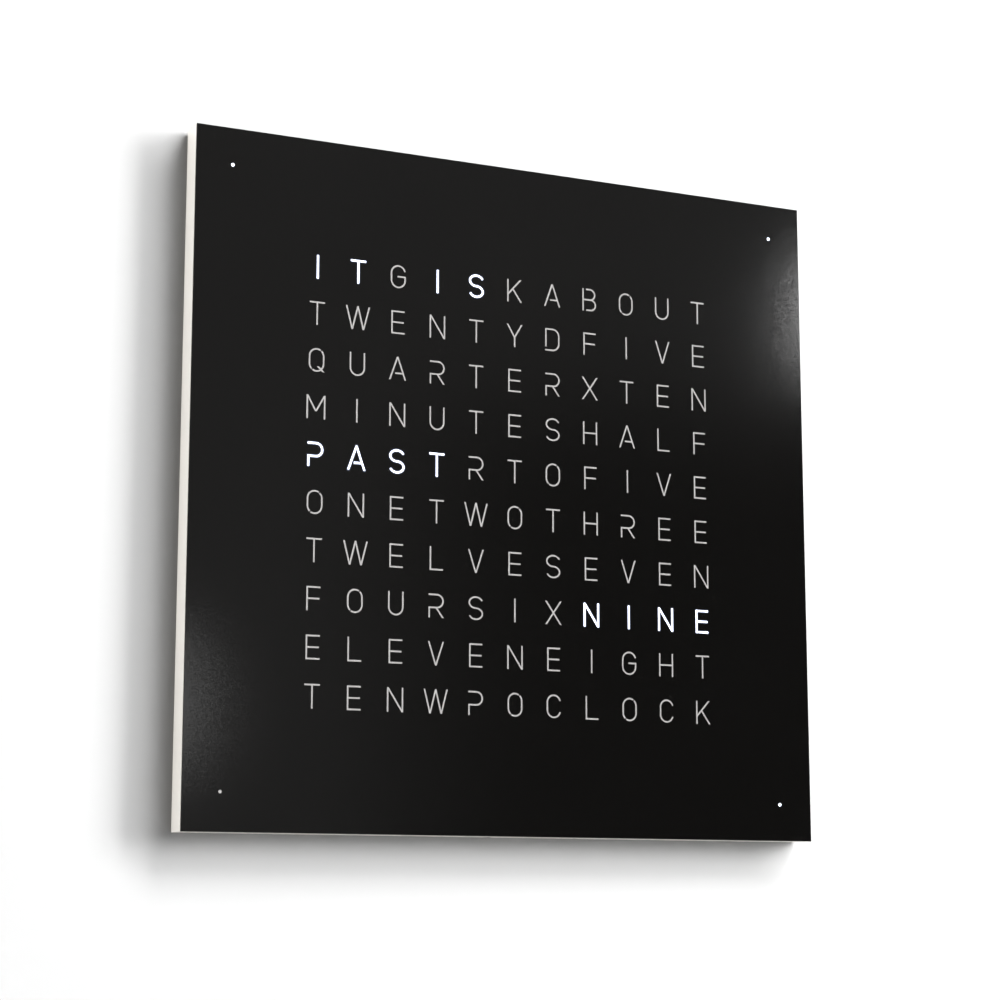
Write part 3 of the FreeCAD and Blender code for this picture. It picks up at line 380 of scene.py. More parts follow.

# %% [markdown]
# ## The cover and what fills its letters
#
# The cover is one sheet with some 300 overlapping strokes cut out of it. A boolean for each would be slow and
# fragile. A constrained Delaunay triangulation does it in one go: it takes the sheet's rectangle and all the
# outlines, splits them where they cross, and says for each triangle which outlines it lies in. Triangles in
# the rectangle alone are steel; those in an outline belong to the opal filling of that letter. Round each lit
# letter a faint glow is painted on the coat, so each lit stroke has a wider outline too. It cuts nothing: it
# only gives the sheet points where an attribute can fall from full painted glow to none. The corner dots get
# no painted glow, as they are too small.

# %% Triangulate the sheet and its letters
EDGE_ROUND = 0.12 * MM
INSIDE_OUTLINES, MERGE_WITHIN = 1, 1e-7
inner = cover_half - EDGE_ROUND
sheet = [(-inner, -inner), (inner, -inner), (inner, inner), (-inner, inner)]
outlines = list(openings())
flat_points, rings = list(sheet), [list(range(4))]
for outline in [outline for outline, lit in outlines] + list(painted_glow_rims()):
    first = len(flat_points)
    flat_points += outline
    rings.append(list(range(first, len(flat_points))))
solved = delaunay_2d_cdt([Vector(p) for p in flat_points], [], rings, INSIDE_OUTLINES, MERGE_WITHIN, True)
face_points, triangles, sources = solved[0], solved[2], solved[5]
steel, unlit_filling, lit_filling = [], [], []
for triangle, owners in zip(triangles, sources):
    cut_by = [owner for owner in owners if 0 < owner <= len(outlines)]
    if not cut_by:
        steel.append(triangle)
    elif any(outlines[owner - 1][1] for owner in cut_by):
        lit_filling.append(triangle)
    else:
        unlit_filling.append(triangle)
field_half = ROWS / 2 * ROW_PITCH
# Points of the lit letters, where the painted glow on the coat is full.
painted_glow_points = {i for triangle in lit_filling for i in triangle if abs(face_points[i].x) < field_half}
print("steel", len(steel), "unlit", len(unlit_filling), "lit", len(lit_filling))


# %% Give the flat shapes their thickness
def anticlockwise(triangle):
    """The triangle's corners in the order that makes it face the front."""
    a, b, c = (face_points[i] for i in triangle)
    return triangle if (b - a).cross(c - a) > 0 else triangle[::-1]


def slab_from(flat_triangles, front, back):
    """Points and faces of a sheet between two planes, with walls round every opening and edge."""
    used = sorted({i for triangle in flat_triangles for i in triangle})
    number = {old: new for new, old in enumerate(used)}
    count = len(used)
    points = [(face_points[i].x, y, face_points[i].y) for y in (front, back) for i in used]
    fronts = [[number[i] for i in anticlockwise(triangle)] for triangle in flat_triangles]
    edges = {(t[i], t[(i + 1) % 3]) for t in fronts for i in range(3)}
    rim = [(a, b) for a, b in edges if (b, a) not in edges]
    faces = fronts + [[i + count for i in t[::-1]] for t in fronts]
    faces += [[b, a, a + count, b + count] for a, b in rim]
    return points, faces, used


points, faces, used = slab_from(steel, FACE_Y, COVER_BACK_Y)
cover = mesh_piece("cover_sheet", points, faces, "cover")
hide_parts("front_cover")
# The sheet's glow attribute carries a painted glow: full at the lit letters, none beyond their wider outlines.
painted_glow_level = cover.data.attributes.new("glow", "FLOAT", "POINT")
for number, old in enumerate(used):
    painted_glow_level.data[number].value = 1.0 if old in painted_glow_points else 0.0
print("points where the coat glows", sum(old in painted_glow_points for old in used))

# %% [markdown]
# The sheet's outer edge is slightly round, as a coat of paint leaves it. The rectangle above was drawn
# smaller by that radius, so its corners now step outwards: the side walls move out, and a narrow strip joins
# them.

# %% Round the outer edge of the sheet
def round_outer_edge(piece, radius):
    """Moves the side walls out by a radius and rounds the front edge with a bevel of that size."""
    edit = bmesh.new()
    edit.from_mesh(piece.data)
    limit = cover_half - radius
    near = 1e-6
    outer = [
        edge
        for edge in edit.edges
        if all(max(abs(v.co.x), abs(v.co.z)) > limit - near for v in edge.verts)
        and all(abs(v.co.y - FACE_Y) < near for v in edge.verts)
        and (edge.verts[0].co - edge.verts[1].co).length > limit
    ]
    walls = {face for edge in outer for face in edge.link_faces if abs(face.normal.y) < 0.5}
    corners = {v for face in walls for v in face.verts}
    for vert in corners:
        vert.co.x += math.copysign(radius, vert.co.x)
        vert.co.z += math.copysign(radius, vert.co.z)
    bmesh.ops.bevel(edit, geom=outer, offset=radius, segments=3, affect="EDGES", clamp_overlap=False)
    edit.to_mesh(piece.data)
    edit.free()


round_outer_edge(cover, EDGE_ROUND)
print("faces of the sheet", len(cover.data.polygons))

# %% [markdown]
# The opal plastic fills each letter to just under the face, so that a fine shadow line stays round it. The
# lit letters are a piece of their own, because they take another finish.

# %% Fill the letters
FILLING_DEPTH = 0.12 * MM
points, faces, _ = slab_from(unlit_filling, FACE_Y + FILLING_DEPTH, COVER_BACK_Y)
unlit_letters = mesh_piece("letter_fillings", points, faces, "cover")
points, faces, _ = slab_from(lit_filling, FACE_Y + FILLING_DEPTH, COVER_BACK_Y)
lit_letters = mesh_piece("lit_letter_fillings", points, faces, "cover")
print("faces:", {piece.name: len(piece.data.polygons) for piece in (unlit_letters, lit_letters)})

# %% [markdown]
# ## Effects that several finishes share
#
# Nearly every surface here has two things in common: a slow drift, as hands, moulds and paint never leave a
# surface quite even, and a fine grain. Both are node groups, built once and used in each material with its
# own sizes. Two more groups make the facets of a powder coat and the thin lines of copper tracks that show
# through the resist of a circuit board.

# %% Helper for node groups
def new_group(name, inputs, outputs):
    """An empty shader group with named sockets: (label, kind, value) in and (label, kind) out."""
    group = bpy.data.node_groups.new(name, "ShaderNodeTree")
    for label, kind, value in inputs:
        socket = group.interface.new_socket(label, in_out="INPUT", socket_type=kind)
        if value is not None:
            socket.default_value = value
    for label, kind in outputs:
        group.interface.new_socket(label, in_out="OUTPUT", socket_type=kind)
    return group, group.nodes.new("NodeGroupInput").outputs, group.nodes.new("NodeGroupOutput").inputs


def place_group(tree, group, **values):
    """A group node in a material, with its named inputs set."""
    node = tree.nodes.new("ShaderNodeGroup")
    node.node_tree = group
    for label, value in values.items():
        node.inputs[label].default_value = value
    return node


# %% Slow drift
def make_slow_drift():
    """A soft cloud between 0 and 1."""
    group, given, made = new_group(
        "slow_drift",
        [("Vector", "NodeSocketVector", None), ("Scale", "NodeSocketFloat", 30.0)],
        [("Mask", "NodeSocketFloat")],
    )
    cloud = add_node(group, "ShaderNodeTexNoise", Detail=4.0, Roughness=0.55)
    spread = add_node(group, "ShaderNodeMapRange", From_Min=0.3, From_Max=0.7)
    group.links.new(given["Vector"], cloud.inputs["Vector"])
    group.links.new(given["Scale"], cloud.inputs["Scale"])
    group.links.new(cloud.outputs["Fac"], spread.inputs["Value"])
    group.links.new(spread.outputs["Result"], made["Mask"])
    return group


slow_drift = make_slow_drift()
print("group", slow_drift.name, [socket.name for socket in slow_drift.interface.items_tree])

# %% [markdown]
# The grain takes a stretch as well as a scale. Moulded and painted grain is the same in every direction; a
# brushed metal is the same noise drawn out along one axis.

# %% Fine grain
def make_fine_grain():
    """Noise of a given size, drawn out along an axis where the stretch is small."""
    group, given, made = new_group(
        "fine_grain",
        [
            ("Vector", "NodeSocketVector", None),
            ("Scale", "NodeSocketFloat", 1400.0),
            ("Stretch", "NodeSocketVector", (1.0, 1.0, 1.0)),
        ],
        [("Height", "NodeSocketFloat")],
    )
    drawn = add_node(group, "ShaderNodeVectorMath", operation="MULTIPLY")
    grains = add_node(group, "ShaderNodeTexNoise", Detail=1.0, Roughness=0.5)
    group.links.new(given["Vector"], drawn.inputs[0])
    group.links.new(given["Stretch"], drawn.inputs[1])
    group.links.new(drawn.outputs["Vector"], grains.inputs["Vector"])
    group.links.new(given["Scale"], grains.inputs["Scale"])
    group.links.new(grains.outputs["Fac"], made["Height"])
    return group


fine_grain = make_fine_grain()
print("group", fine_grain.name, [socket.name for socket in fine_grain.interface.items_tree])

# %% [markdown]
# Powder coat is baked from grains, and each leaves a tiny facet that leans its own way. A bump can't show
# that at this size, so this group leans the normal itself: every cell of a Voronoi pattern gets one random
# lean.

# %% Facets of a powder coat
def make_leaning_facets():
    """The normal, leaned by up to half of Lean along each axis, another way in each cell."""
    group, given, made = new_group(
        "leaning_facets",
        [
            ("Vector", "NodeSocketVector", None),
            ("Normal", "NodeSocketVector", None),
            ("Scale", "NodeSocketFloat", 1200.0),
            ("Lean", "NodeSocketFloat", 0.02),
        ],
        [("Normal", "NodeSocketVector")],
    )
    cells = add_node(group, "ShaderNodeTexVoronoi")
    centred = add_node(group, "ShaderNodeVectorMath", operation="SUBTRACT")
    centred.inputs[1].default_value = (0.5, 0.5, 0.5)
    leaned = add_node(group, "ShaderNodeVectorMath", operation="SCALE")
    summed = add_node(group, "ShaderNodeVectorMath", operation="ADD")
    even = add_node(group, "ShaderNodeVectorMath", operation="NORMALIZE")
    group.links.new(given["Vector"], cells.inputs["Vector"])
    group.links.new(given["Scale"], cells.inputs["Scale"])
    group.links.new(cells.outputs["Color"], centred.inputs[0])
    group.links.new(centred.outputs["Vector"], leaned.inputs[0])
    group.links.new(given["Lean"], leaned.inputs["Scale"])
    group.links.new(leaned.outputs["Vector"], summed.inputs[0])
    group.links.new(given["Normal"], summed.inputs[1])
    group.links.new(summed.outputs["Vector"], even.inputs[0])
    group.links.new(even.outputs["Vector"], made["Normal"])
    return group


leaning_facets = make_leaning_facets()
print("group", leaning_facets.name, [socket.name for socket in leaning_facets.interface.items_tree])

# %% [markdown]
# A brick pattern whose bricks are black and whose mortar is white gives thin lines that run on and turn
# off, as copper tracks do. X and Y are added, so that the lines show on boards that face either way.

# %% Tracks of a circuit board
def make_board_tracks():
    """1 on the thin lines between long bricks, 0 elsewhere."""
    group, given, made = new_group(
        "board_tracks",
        [("Vector", "NodeSocketVector", None), ("Scale", "NodeSocketFloat", 90.0)],
        [("Mask", "NodeSocketFloat")],
    )
    parts = add_node(group, "ShaderNodeSeparateXYZ")
    across = add_node(group, "ShaderNodeMath", operation="ADD")
    flat = add_node(group, "ShaderNodeCombineXYZ")
    lanes = add_node(
        group, "ShaderNodeTexBrick", Mortar_Size=0.045, Mortar_Smooth=0.2, Brick_Width=0.62, Row_Height=0.17
    )
    lanes.inputs["Color1"].default_value = lanes.inputs["Color2"].default_value = (0, 0, 0, 1)
    lanes.inputs["Mortar"].default_value = (1, 1, 1, 1)
    group.links.new(given["Vector"], parts.inputs["Vector"])
    group.links.new(parts.outputs["X"], across.inputs[0])
    group.links.new(parts.outputs["Y"], across.inputs[1])
    group.links.new(across.outputs["Value"], flat.inputs["X"])
    group.links.new(parts.outputs["Z"], flat.inputs["Y"])
    group.links.new(flat.outputs["Vector"], lanes.inputs["Vector"])
    group.links.new(given["Scale"], lanes.inputs["Scale"])
    group.links.new(lanes.outputs["Color"], made["Mask"])
    return group


board_tracks = make_board_tracks()
print("shared groups", [group.name for group in bpy.data.node_groups])

# %% [markdown]
# ## Finishes
#
# One function covers everything painted, moulded, plated or ground: two near shades that the drift mixes, a
# gloss that drifts with them, and a grain that bumps the surface. What sets the finishes apart is the size of
# the grain, its depth in metres and how glossy it is. Sizes are real: the grain of a moulded plastic is a
# third of a millimetre wide and a few thousandths deep.

# %% One recipe for plain finishes
EVENLY = (1.0, 1.0, 1.0)


def surface(name, pale, deep, roughness, spread, grain, depth, metallic=0.0, drift=30.0, stretch=EVENLY):
    """A material that drifts between two shades and has a fine grain, in metres."""
    material, tree, shader = start_material(name, pale, roughness, metallic)
    place = add_node(tree, "ShaderNodeTexCoord")
    mask = place_group(tree, slow_drift, Scale=drift)
    height = place_group(tree, fine_grain, Scale=grain, Stretch=stretch)
    shades = add_node(tree, "ShaderNodeMix", data_type="RGBA")
    shades.inputs[6].default_value, shades.inputs[7].default_value = (*pale, 1.0), (*deep, 1.0)
    gloss = add_node(tree, "ShaderNodeMapRange", To_Min=roughness - spread, To_Max=roughness + spread)
    bump = add_node(tree, "ShaderNodeBump", Strength=1.0, Distance=depth)
    for node in (mask, height):
        tree.links.new(place.outputs["Object"], node.inputs["Vector"])
    tree.links.new(mask.outputs["Mask"], shades.inputs[0])
    tree.links.new(mask.outputs["Mask"], gloss.inputs["Value"])
    tree.links.new(shades.outputs[2], shader.inputs["Base Color"])
    tree.links.new(gloss.outputs["Result"], shader.inputs["Roughness"])
    tree.links.new(height.outputs["Height"], bump.inputs["Height"])
    tree.links.new(bump.outputs["Normal"], shader.inputs["Normal"])
    return material


print("the recipe uses", slow_drift.name, "and", fine_grain.name)

# %% [markdown]
# The cover's powder coat is nearly black and fairly glossy. It takes the plain recipe and adds two things
# of its own: the facets of its powder, and a painted glow round the lit letters, as a faint emission that
# fades with the sheet's glow attribute.

# %% Coat of the cover
PAINTED_GLOW_FALLOFF = 1.5


def add_facets(material, scale, lean):
    """Leans the normal that a material has by the facets of its powder."""
    tree = material.node_tree
    normal = tree.nodes["Principled BSDF"].inputs["Normal"]
    facets = place_group(tree, leaning_facets, Scale=scale, Lean=lean)
    tree.links.new(tree.nodes["Texture Coordinate"].outputs["Object"], facets.inputs["Vector"])
    tree.links.new(normal.links[0].from_socket, facets.inputs["Normal"])
    tree.links.new(facets.outputs["Normal"], normal)


def add_painted_glow(material, colour, strength):
    """A painted glow round the lit letters: emission where the sheet's glow attribute says, fading outwards.
    """
    tree = material.node_tree
    shader = tree.nodes["Principled BSDF"]
    painted_glow_share = add_node(tree, "ShaderNodeAttribute", attribute_name="glow")
    fade = add_math(tree, "POWER", painted_glow_share.outputs["Fac"], PAINTED_GLOW_FALLOFF)
    tint = add_node(tree, "ShaderNodeMix", data_type="RGBA")
    tint.inputs[6].default_value, tint.inputs[7].default_value = (0.0, 0.0, 0.0, 1.0), (*colour, 1.0)
    tree.links.new(fade, tint.inputs[0])
    tree.links.new(tint.outputs[2], shader.inputs["Emission Color"])
    shader.inputs["Emission Strength"].default_value = strength


black_coat = surface("black_powder_coat", (0.0054, 0.0051, 0.0048), (0.0048, 0.0045, 0.0042),
                     roughness=0.11, spread=0.01, grain=900.0, depth=0.000008, drift=9.0)
dress(cover, black_coat)
add_facets(black_coat, scale=1800.0, lean=0.016)
# A painted glow on the coat round the lit letters, as a faint cold emission.
add_painted_glow(black_coat, colour=(0.66, 0.73, 1.0), strength=0.8)
print("coat", black_coat.name, "with", len(black_coat.node_tree.nodes), "nodes")

# %% [markdown]
# The box behind the cover is lacquered fibreboard, warm white and smooth, so its drift and its grain are
# hardly there. The back sheet has a coarser, matt grey coat.

# %% Lacquer and back sheet
white_lacquer = surface("white_satin_lacquer", (0.775, 0.745, 0.695), (0.765, 0.735, 0.685), roughness=0.32,
                        spread=0.04, grain=420.0, depth=0.000006)
dress_nodes(white_lacquer, "housing")
back_coat = surface("grey_back_coat", (0.405, 0.405, 0.395), (0.390, 0.390, 0.380), roughness=0.42,
                    spread=0.04, grain=700.0, depth=0.000016, drift=14.0)
dress_nodes(back_coat, "back_cover")
print("coats", [material.name for material in (black_coat, white_lacquer, back_coat)])

# %% [markdown]
# Plated steel and ground ferrite differ from paint in being metallic or brushed. A brushed grain is the
# same noise with a small stretch along one axis; zinc drifts between a bluish and a plain grey, as its
# crystals do.

# %% Metals
zinc = surface("zinc_plate", (0.66, 0.67, 0.69), (0.52, 0.55, 0.60), roughness=0.30, spread=0.08,
               grain=900.0, depth=0.000004, metallic=1.0, drift=160.0)
dress_nodes(zinc, "cover_pins")
folded = surface("folded_sheet", (0.62, 0.63, 0.64), (0.54, 0.55, 0.57), roughness=0.34, spread=0.08,
                 grain=1600.0, depth=0.000005, metallic=1.0, drift=90.0, stretch=(1.0, 1.0, 0.05))
dress_nodes(folded, "button_bracket")
nickel = surface("nickel_plate", (0.76, 0.74, 0.71), (0.68, 0.66, 0.62), roughness=0.17, spread=0.06,
                 grain=1100.0, depth=0.000003, metallic=1.0, drift=120.0)
dress_nodes(nickel, "cover_magnets", "quartz_crystal", "cell_holder", "coin_cell", "power_jack_pin")
ferrite = surface("ground_ferrite", (0.065, 0.065, 0.070), (0.045, 0.045, 0.050), roughness=0.55,
                  spread=0.08, grain=1700.0, depth=0.000012, metallic=0.0, drift=200.0,
                  stretch=(0.08, 1.0, 1.0))
dress_nodes(ferrite, "aerial_bar")
print("metals", [material.name for material in (zinc, folded, nickel, ferrite)])

# %% [markdown]
# Mouldings carry the fine grain of their mould, finer on a chip than on the cover of a lead. The plastics
# are the same recipe once more, each with its own shade and gloss.

# %% Plastics, chips and leads
black_plastic = surface("black_moulding", (0.022, 0.022, 0.024), (0.016, 0.016, 0.018), roughness=0.46,
                        spread=0.07, grain=2600.0, depth=0.000007)
dress_nodes(black_plastic, "light_grid", "board_clips", "board_headers", "power_jack", "button_switches",
            "mode_plunger", "hour_plunger", "minute_plunger")
white_plastic = surface("white_nylon", (0.80, 0.79, 0.75), (0.76, 0.74, 0.69), roughness=0.38, spread=0.05,
                        grain=1900.0, depth=0.000005)
dress_nodes(white_plastic, "power_socket", "lead_sockets", "button_lead_sockets", "aerial_saddles")
grey_plastic = surface("grey_acetal", (0.31, 0.32, 0.33), (0.27, 0.28, 0.29), roughness=0.34, spread=0.05,
                       grain=2800.0, depth=0.000006)
dress_nodes(grey_plastic, "mode_button", "hour_button", "minute_button")
chip_plastic = surface("chip_moulding", (0.034, 0.034, 0.036), (0.024, 0.024, 0.026), roughness=0.52,
                       spread=0.06, grain=4200.0, depth=0.000005)
dress_nodes(chip_plastic, "led_drivers", "processor", "voltage_regulator", "light_sensor")
orange_case = surface("capacitor_moulding", (0.72, 0.42, 0.07), (0.62, 0.33, 0.04), roughness=0.28,
                      spread=0.06, grain=2400.0, depth=0.000004)
dress_nodes(orange_case, "smoothing_capacitors")
grey_lead = surface("grey_lead_cover", (0.50, 0.51, 0.53), (0.42, 0.43, 0.45), roughness=0.40, spread=0.05,
                    grain=1500.0, depth=0.000010)
dress_nodes(grey_lead, "minute_leads", "radio_lead", "button_lead")
black_lead = surface("black_lead_cover", (0.020, 0.020, 0.020), (0.012, 0.012, 0.012), roughness=0.48,
                     spread=0.08, grain=1300.0, depth=0.000009)
dress_nodes(black_lead, "power_lead")
print("materials so far", len(bpy.data.materials))

# %% [markdown]
# The two circuit boards add the tracks to the same recipe: where copper lies under the resist, the board is a
# little paler and stands a few hundredths of a millimetre higher. The lens of the light sensor is glass-clear
# plastic, with only the faint ripple that moulding leaves.

# %% Circuit boards and lens
TRACK_HEIGHT = 0.00003


def resist(name, bare, over_copper):
    """The coloured resist of a circuit board, with its tracks showing."""
    material, tree, shader = start_material(name, bare, roughness=0.30)
    place = add_node(tree, "ShaderNodeTexCoord")
    tracks = place_group(tree, board_tracks, Scale=90.0)
    drift = place_group(tree, slow_drift, Scale=60.0)
    shades = add_node(tree, "ShaderNodeMix", data_type="RGBA")
    shades.inputs[6].default_value, shades.inputs[7].default_value = (*bare, 1.0), (*over_copper, 1.0)
    gloss = add_node(tree, "ShaderNodeMapRange", To_Min=0.24, To_Max=0.38)
    bump = add_node(tree, "ShaderNodeBump", Strength=1.0, Distance=TRACK_HEIGHT)
    for node in (tracks, drift):
        tree.links.new(place.outputs["Object"], node.inputs["Vector"])
    tree.links.new(tracks.outputs["Mask"], shades.inputs[0])
    tree.links.new(tracks.outputs["Mask"], bump.inputs["Height"])
    tree.links.new(drift.outputs["Mask"], gloss.inputs["Value"])
    tree.links.new(gloss.outputs["Result"], shader.inputs["Roughness"])
    tree.links.new(shades.outputs[2], shader.inputs["Base Color"])
    tree.links.new(bump.outputs["Normal"], shader.inputs["Normal"])
    return material


white_resist = resist("white_resist", (0.80, 0.80, 0.78), (0.86, 0.86, 0.83))
green_resist = resist("green_resist", (0.012, 0.11, 0.045), (0.030, 0.19, 0.080))
corner_boards = [name for name in nodes if name.startswith("minute_board_")]
dress_nodes(white_resist, "led_board", *corner_boards)
dress_nodes(green_resist, "controller_board", "radio_board", "button_board")


def clear_plastic():
    """The clear lens of the light sensor, with the faint ripple of moulding."""
    material, tree, shader = start_material("clear_lens", (0.92, 0.94, 0.95), roughness=0.06)
    shader.inputs["Transmission Weight"].default_value = 1.0
    shader.inputs["IOR"].default_value = 1.49
    place = add_node(tree, "ShaderNodeTexCoord")
    ripple = place_group(tree, fine_grain, Scale=700.0)
    bump = add_node(tree, "ShaderNodeBump", Strength=1.0, Distance=0.000008)
    tree.links.new(place.outputs["Object"], ripple.inputs["Vector"])
    tree.links.new(ripple.outputs["Height"], bump.inputs["Height"])
    tree.links.new(bump.outputs["Normal"], shader.inputs["Normal"])
    return material


dress_nodes(clear_plastic(), "sensor_lens")
print("boards", 1 + len(corner_boards), "white and 3 green; materials so far", len(bpy.data.materials))

# %% [markdown]
# ## Opal plastic and light
#
# Unlit letters show plain opal plastic. Lit ones shine, a cold white. Behind the cover, the whole opal sheet
# glows in a soft square for each lit LED, which shows when the cover is pulled away. The squares are worked
# out from the position alone: a mask for the word, times a falloff from the middle of each cell.

# %% Which cells glow
SOFT_EDGE = 0.0006
CELL_RIM, CELL_GAIN = 0.28, 0.72


def near(tree, position, centre, reach):
    """1 within reach of the centre along one axis, 0 beyond, with a soft edge."""
    away = add_math(tree, "ABSOLUTE", add_math(tree, "SUBTRACT", position, centre))
    edge = add_node(tree, "ShaderNodeMapRange", interpolation_type="SMOOTHSTEP",
                    From_Min=reach + SOFT_EDGE, From_Max=reach - SOFT_EDGE)
    tree.links.new(away, edge.inputs["Value"])
    return edge.outputs["Result"]


def make_word_glow():
    """How much each point of the opal sheet glows: the cells of the lit words, brightest in the middle."""
    group, given, made = new_group(
        "word_glow",
        [("Vector", "NodeSocketVector", None)],
        [("Mask", "NodeSocketFloat")],
    )
    parts = add_node(group, "ShaderNodeSeparateXYZ")
    group.links.new(given["Vector"], parts.inputs["Vector"])
    x, z = parts.outputs["X"], parts.outputs["Z"]
    words = 0.0
    for row, start, count in LIT_WORDS:
        left, level = cell_middle(row, start)
        across = near(group, x, left + (count - 1) / 2 * COLUMN_PITCH, count / 2 * COLUMN_PITCH)
        upward = near(group, z, level, ROW_PITCH / 2)
        words = add_math(group, "ADD", words, add_math(group, "MULTIPLY", across, upward))
    from_wall_x = add_math(group, "PINGPONG", add_math(group, "ADD", x, COLUMN_PITCH / 2), COLUMN_PITCH / 2)
    from_wall_z = add_math(group, "PINGPONG", z, ROW_PITCH / 2)
    falloff = add_math(group, "MULTIPLY", add_math(group, "DIVIDE", from_wall_x, COLUMN_PITCH / 2),
                       add_math(group, "DIVIDE", from_wall_z, ROW_PITCH / 2))
    falloff = add_math(group, "ADD", add_math(group, "MULTIPLY", falloff, CELL_GAIN), CELL_RIM)
    group.links.new(add_math(group, "MULTIPLY", words, falloff), made["Mask"])
    return group


word_glow = make_word_glow()
print("the word mask takes", len(word_glow.nodes), "nodes")

# %% Opal plastic, unlit and lit
COLD_WHITE, COLDER_WHITE = (0.78, 0.84, 1.0), (0.75, 0.82, 1.0)
opal = surface("opal_plastic", (0.57, 0.555, 0.545), (0.54, 0.525, 0.515), roughness=0.40, spread=0.05,
               grain=900.0, depth=0.000005)
dress(unlit_letters, opal)


def lit_opal(name, strength, mask_group=None):
    """Opal plastic with light behind it, all over or where the mask says."""
    material, tree, shader = start_material(name, (0.78, 0.78, 0.78), roughness=0.40)
    place = add_node(tree, "ShaderNodeTexCoord")
    drift = place_group(tree, slow_drift, Scale=40.0)
    tint = add_node(tree, "ShaderNodeMix", data_type="RGBA")
    tint.inputs[6].default_value, tint.inputs[7].default_value = (*COLD_WHITE, 1.0), (*COLDER_WHITE, 1.0)
    tree.links.new(place.outputs["Object"], drift.inputs["Vector"])
    tree.links.new(drift.outputs["Mask"], tint.inputs[0])
    colour = tint.outputs[2]
    if mask_group:
        mask = place_group(tree, mask_group)
        level = add_node(tree, "ShaderNodeMix", data_type="RGBA")
        level.inputs[6].default_value = (0.0, 0.0, 0.0, 1.0)
        tree.links.new(place.outputs["Object"], mask.inputs["Vector"])
        tree.links.new(mask.outputs["Mask"], level.inputs[0])
        tree.links.new(colour, level.inputs[7])
        colour = level.outputs[2]
    tree.links.new(colour, shader.inputs["Emission Color"])
    shader.inputs["Emission Strength"].default_value = strength
    return material


LETTER_SHINE, SHEET_SHINE = 3.8, 1.6
dress(lit_letters, lit_opal("lit_opal_plastic", LETTER_SHINE))
dress_nodes(lit_opal("opal_sheet_over_cells", SHEET_SHINE, word_glow), "letter_diffuser")
print("shine of the letters", LETTER_SHINE, "and of the sheet behind them", SHEET_SHINE)

# %% [markdown]
# The small opal plates behind the corner dots glow round their LED alone, and one of the four stays dark.
# Their mask is the distance to the nearest dot, with one quarter of the face left out.

# %% Glow of the corner plates
GLOW_RADIUS_INVERSE = 110.0


def make_corner_glow():
    """How much each point of the corner plates glows: most at the dot, nothing some 9 mm away."""
    group, given, made = new_group(
        "corner_glow",
        [("Vector", "NodeSocketVector", None)],
        [("Mask", "NodeSocketFloat")],
    )
    parts = add_node(group, "ShaderNodeSeparateXYZ")
    group.links.new(given["Vector"], parts.inputs["Vector"])
    x, z = parts.outputs["X"], parts.outputs["Z"]
    on_dark_side = [
        add_math(group, "LESS_THAN", add_math(group, "MULTIPLY", axis, -side), 0)
        for axis, side in zip((x, z), UNLIT_DOT)
    ]
    dark = add_math(group, "MULTIPLY", *on_dark_side)
    reach = cover_half - DOT_INSET
    aside = [
        add_math(group, "POWER", add_math(group, "SUBTRACT", add_math(group, "ABSOLUTE", axis), reach), 2)
        for axis in (x, z)
    ]
    distance = add_math(group, "SQRT", add_math(group, "ADD", *aside))
    share = add_math(group, "MULTIPLY", distance, GLOW_RADIUS_INVERSE)
    falloff = add_math(group, "SUBTRACT", 1.0, share, clamp=True)
    lit = add_math(group, "SUBTRACT", 1.0, dark)
    group.links.new(add_math(group, "MULTIPLY", falloff, lit), made["Mask"])
    return group


dress_nodes(lit_opal("opal_discs_over_corners", SHEET_SHINE, make_corner_glow()), "minute_diffusers")
print("opal materials", [material.name for material in bpy.data.materials if "opal" in material.name])

# %% [markdown]
# ## What repeats
#
# Screws, LEDs and the winding of the aerial are small shapes made once and repeated, or one wire that follows
# a rule. Geometry Nodes suit both: a tree holds the recipe, its inputs hold the sizes, and one helper runs it
# on a few points and keeps the result as a plain mesh.

# %% Helpers for geometry trees
def new_tree(name, inputs):
    """An empty geometry tree with a Geometry input, named inputs (label, kind) and a Geometry output."""
    tree = bpy.data.node_groups.new(name, "GeometryNodeTree")
    for label, kind in [("Geometry", "NodeSocketGeometry")] + inputs:
        tree.interface.new_socket(label, in_out="INPUT", socket_type=kind)
    tree.interface.new_socket("Geometry", in_out="OUTPUT", socket_type="NodeSocketGeometry")
    return tree, tree.nodes.new("NodeGroupInput").outputs, tree.nodes.new("NodeGroupOutput").inputs


def wire(tree, *pairs):
    """Joins pairs of sockets."""
    for source, target in pairs:
        tree.links.new(source, target)


def vector_of(tree, *values):
    """A vector from up to three sockets; a value left None stays 0."""
    parts = add_node(tree, "ShaderNodeCombineXYZ")
    wire(tree, *[(value, socket) for value, socket in zip(values, parts.inputs) if value is not None])
    return parts.outputs["Vector"]


def scaled(tree, value, factor):
    """A socket's value times a number."""
    return add_math(tree, "MULTIPLY", value, factor)


# %% Helpers that shift, cut and place shapes
def shifted(tree, shape, up):
    """The shape, moved along Z by a socket's value."""
    place = add_node(tree, "GeometryNodeTransform")
    wire(
        tree,
        (shape, place.inputs["Geometry"]),
        (vector_of(tree, None, None, up), place.inputs["Translation"]),
    )
    return place.outputs["Geometry"]


def cut_from(tree, shape, tool):
    """What is left of the shape once the tool has cut it."""
    cut = add_node(tree, "GeometryNodeMeshBoolean", operation="DIFFERENCE")
    wire(tree, (shape, cut.inputs["Mesh 1"]), (tool, cut.inputs["Mesh 2"]))
    return cut.outputs["Mesh"]


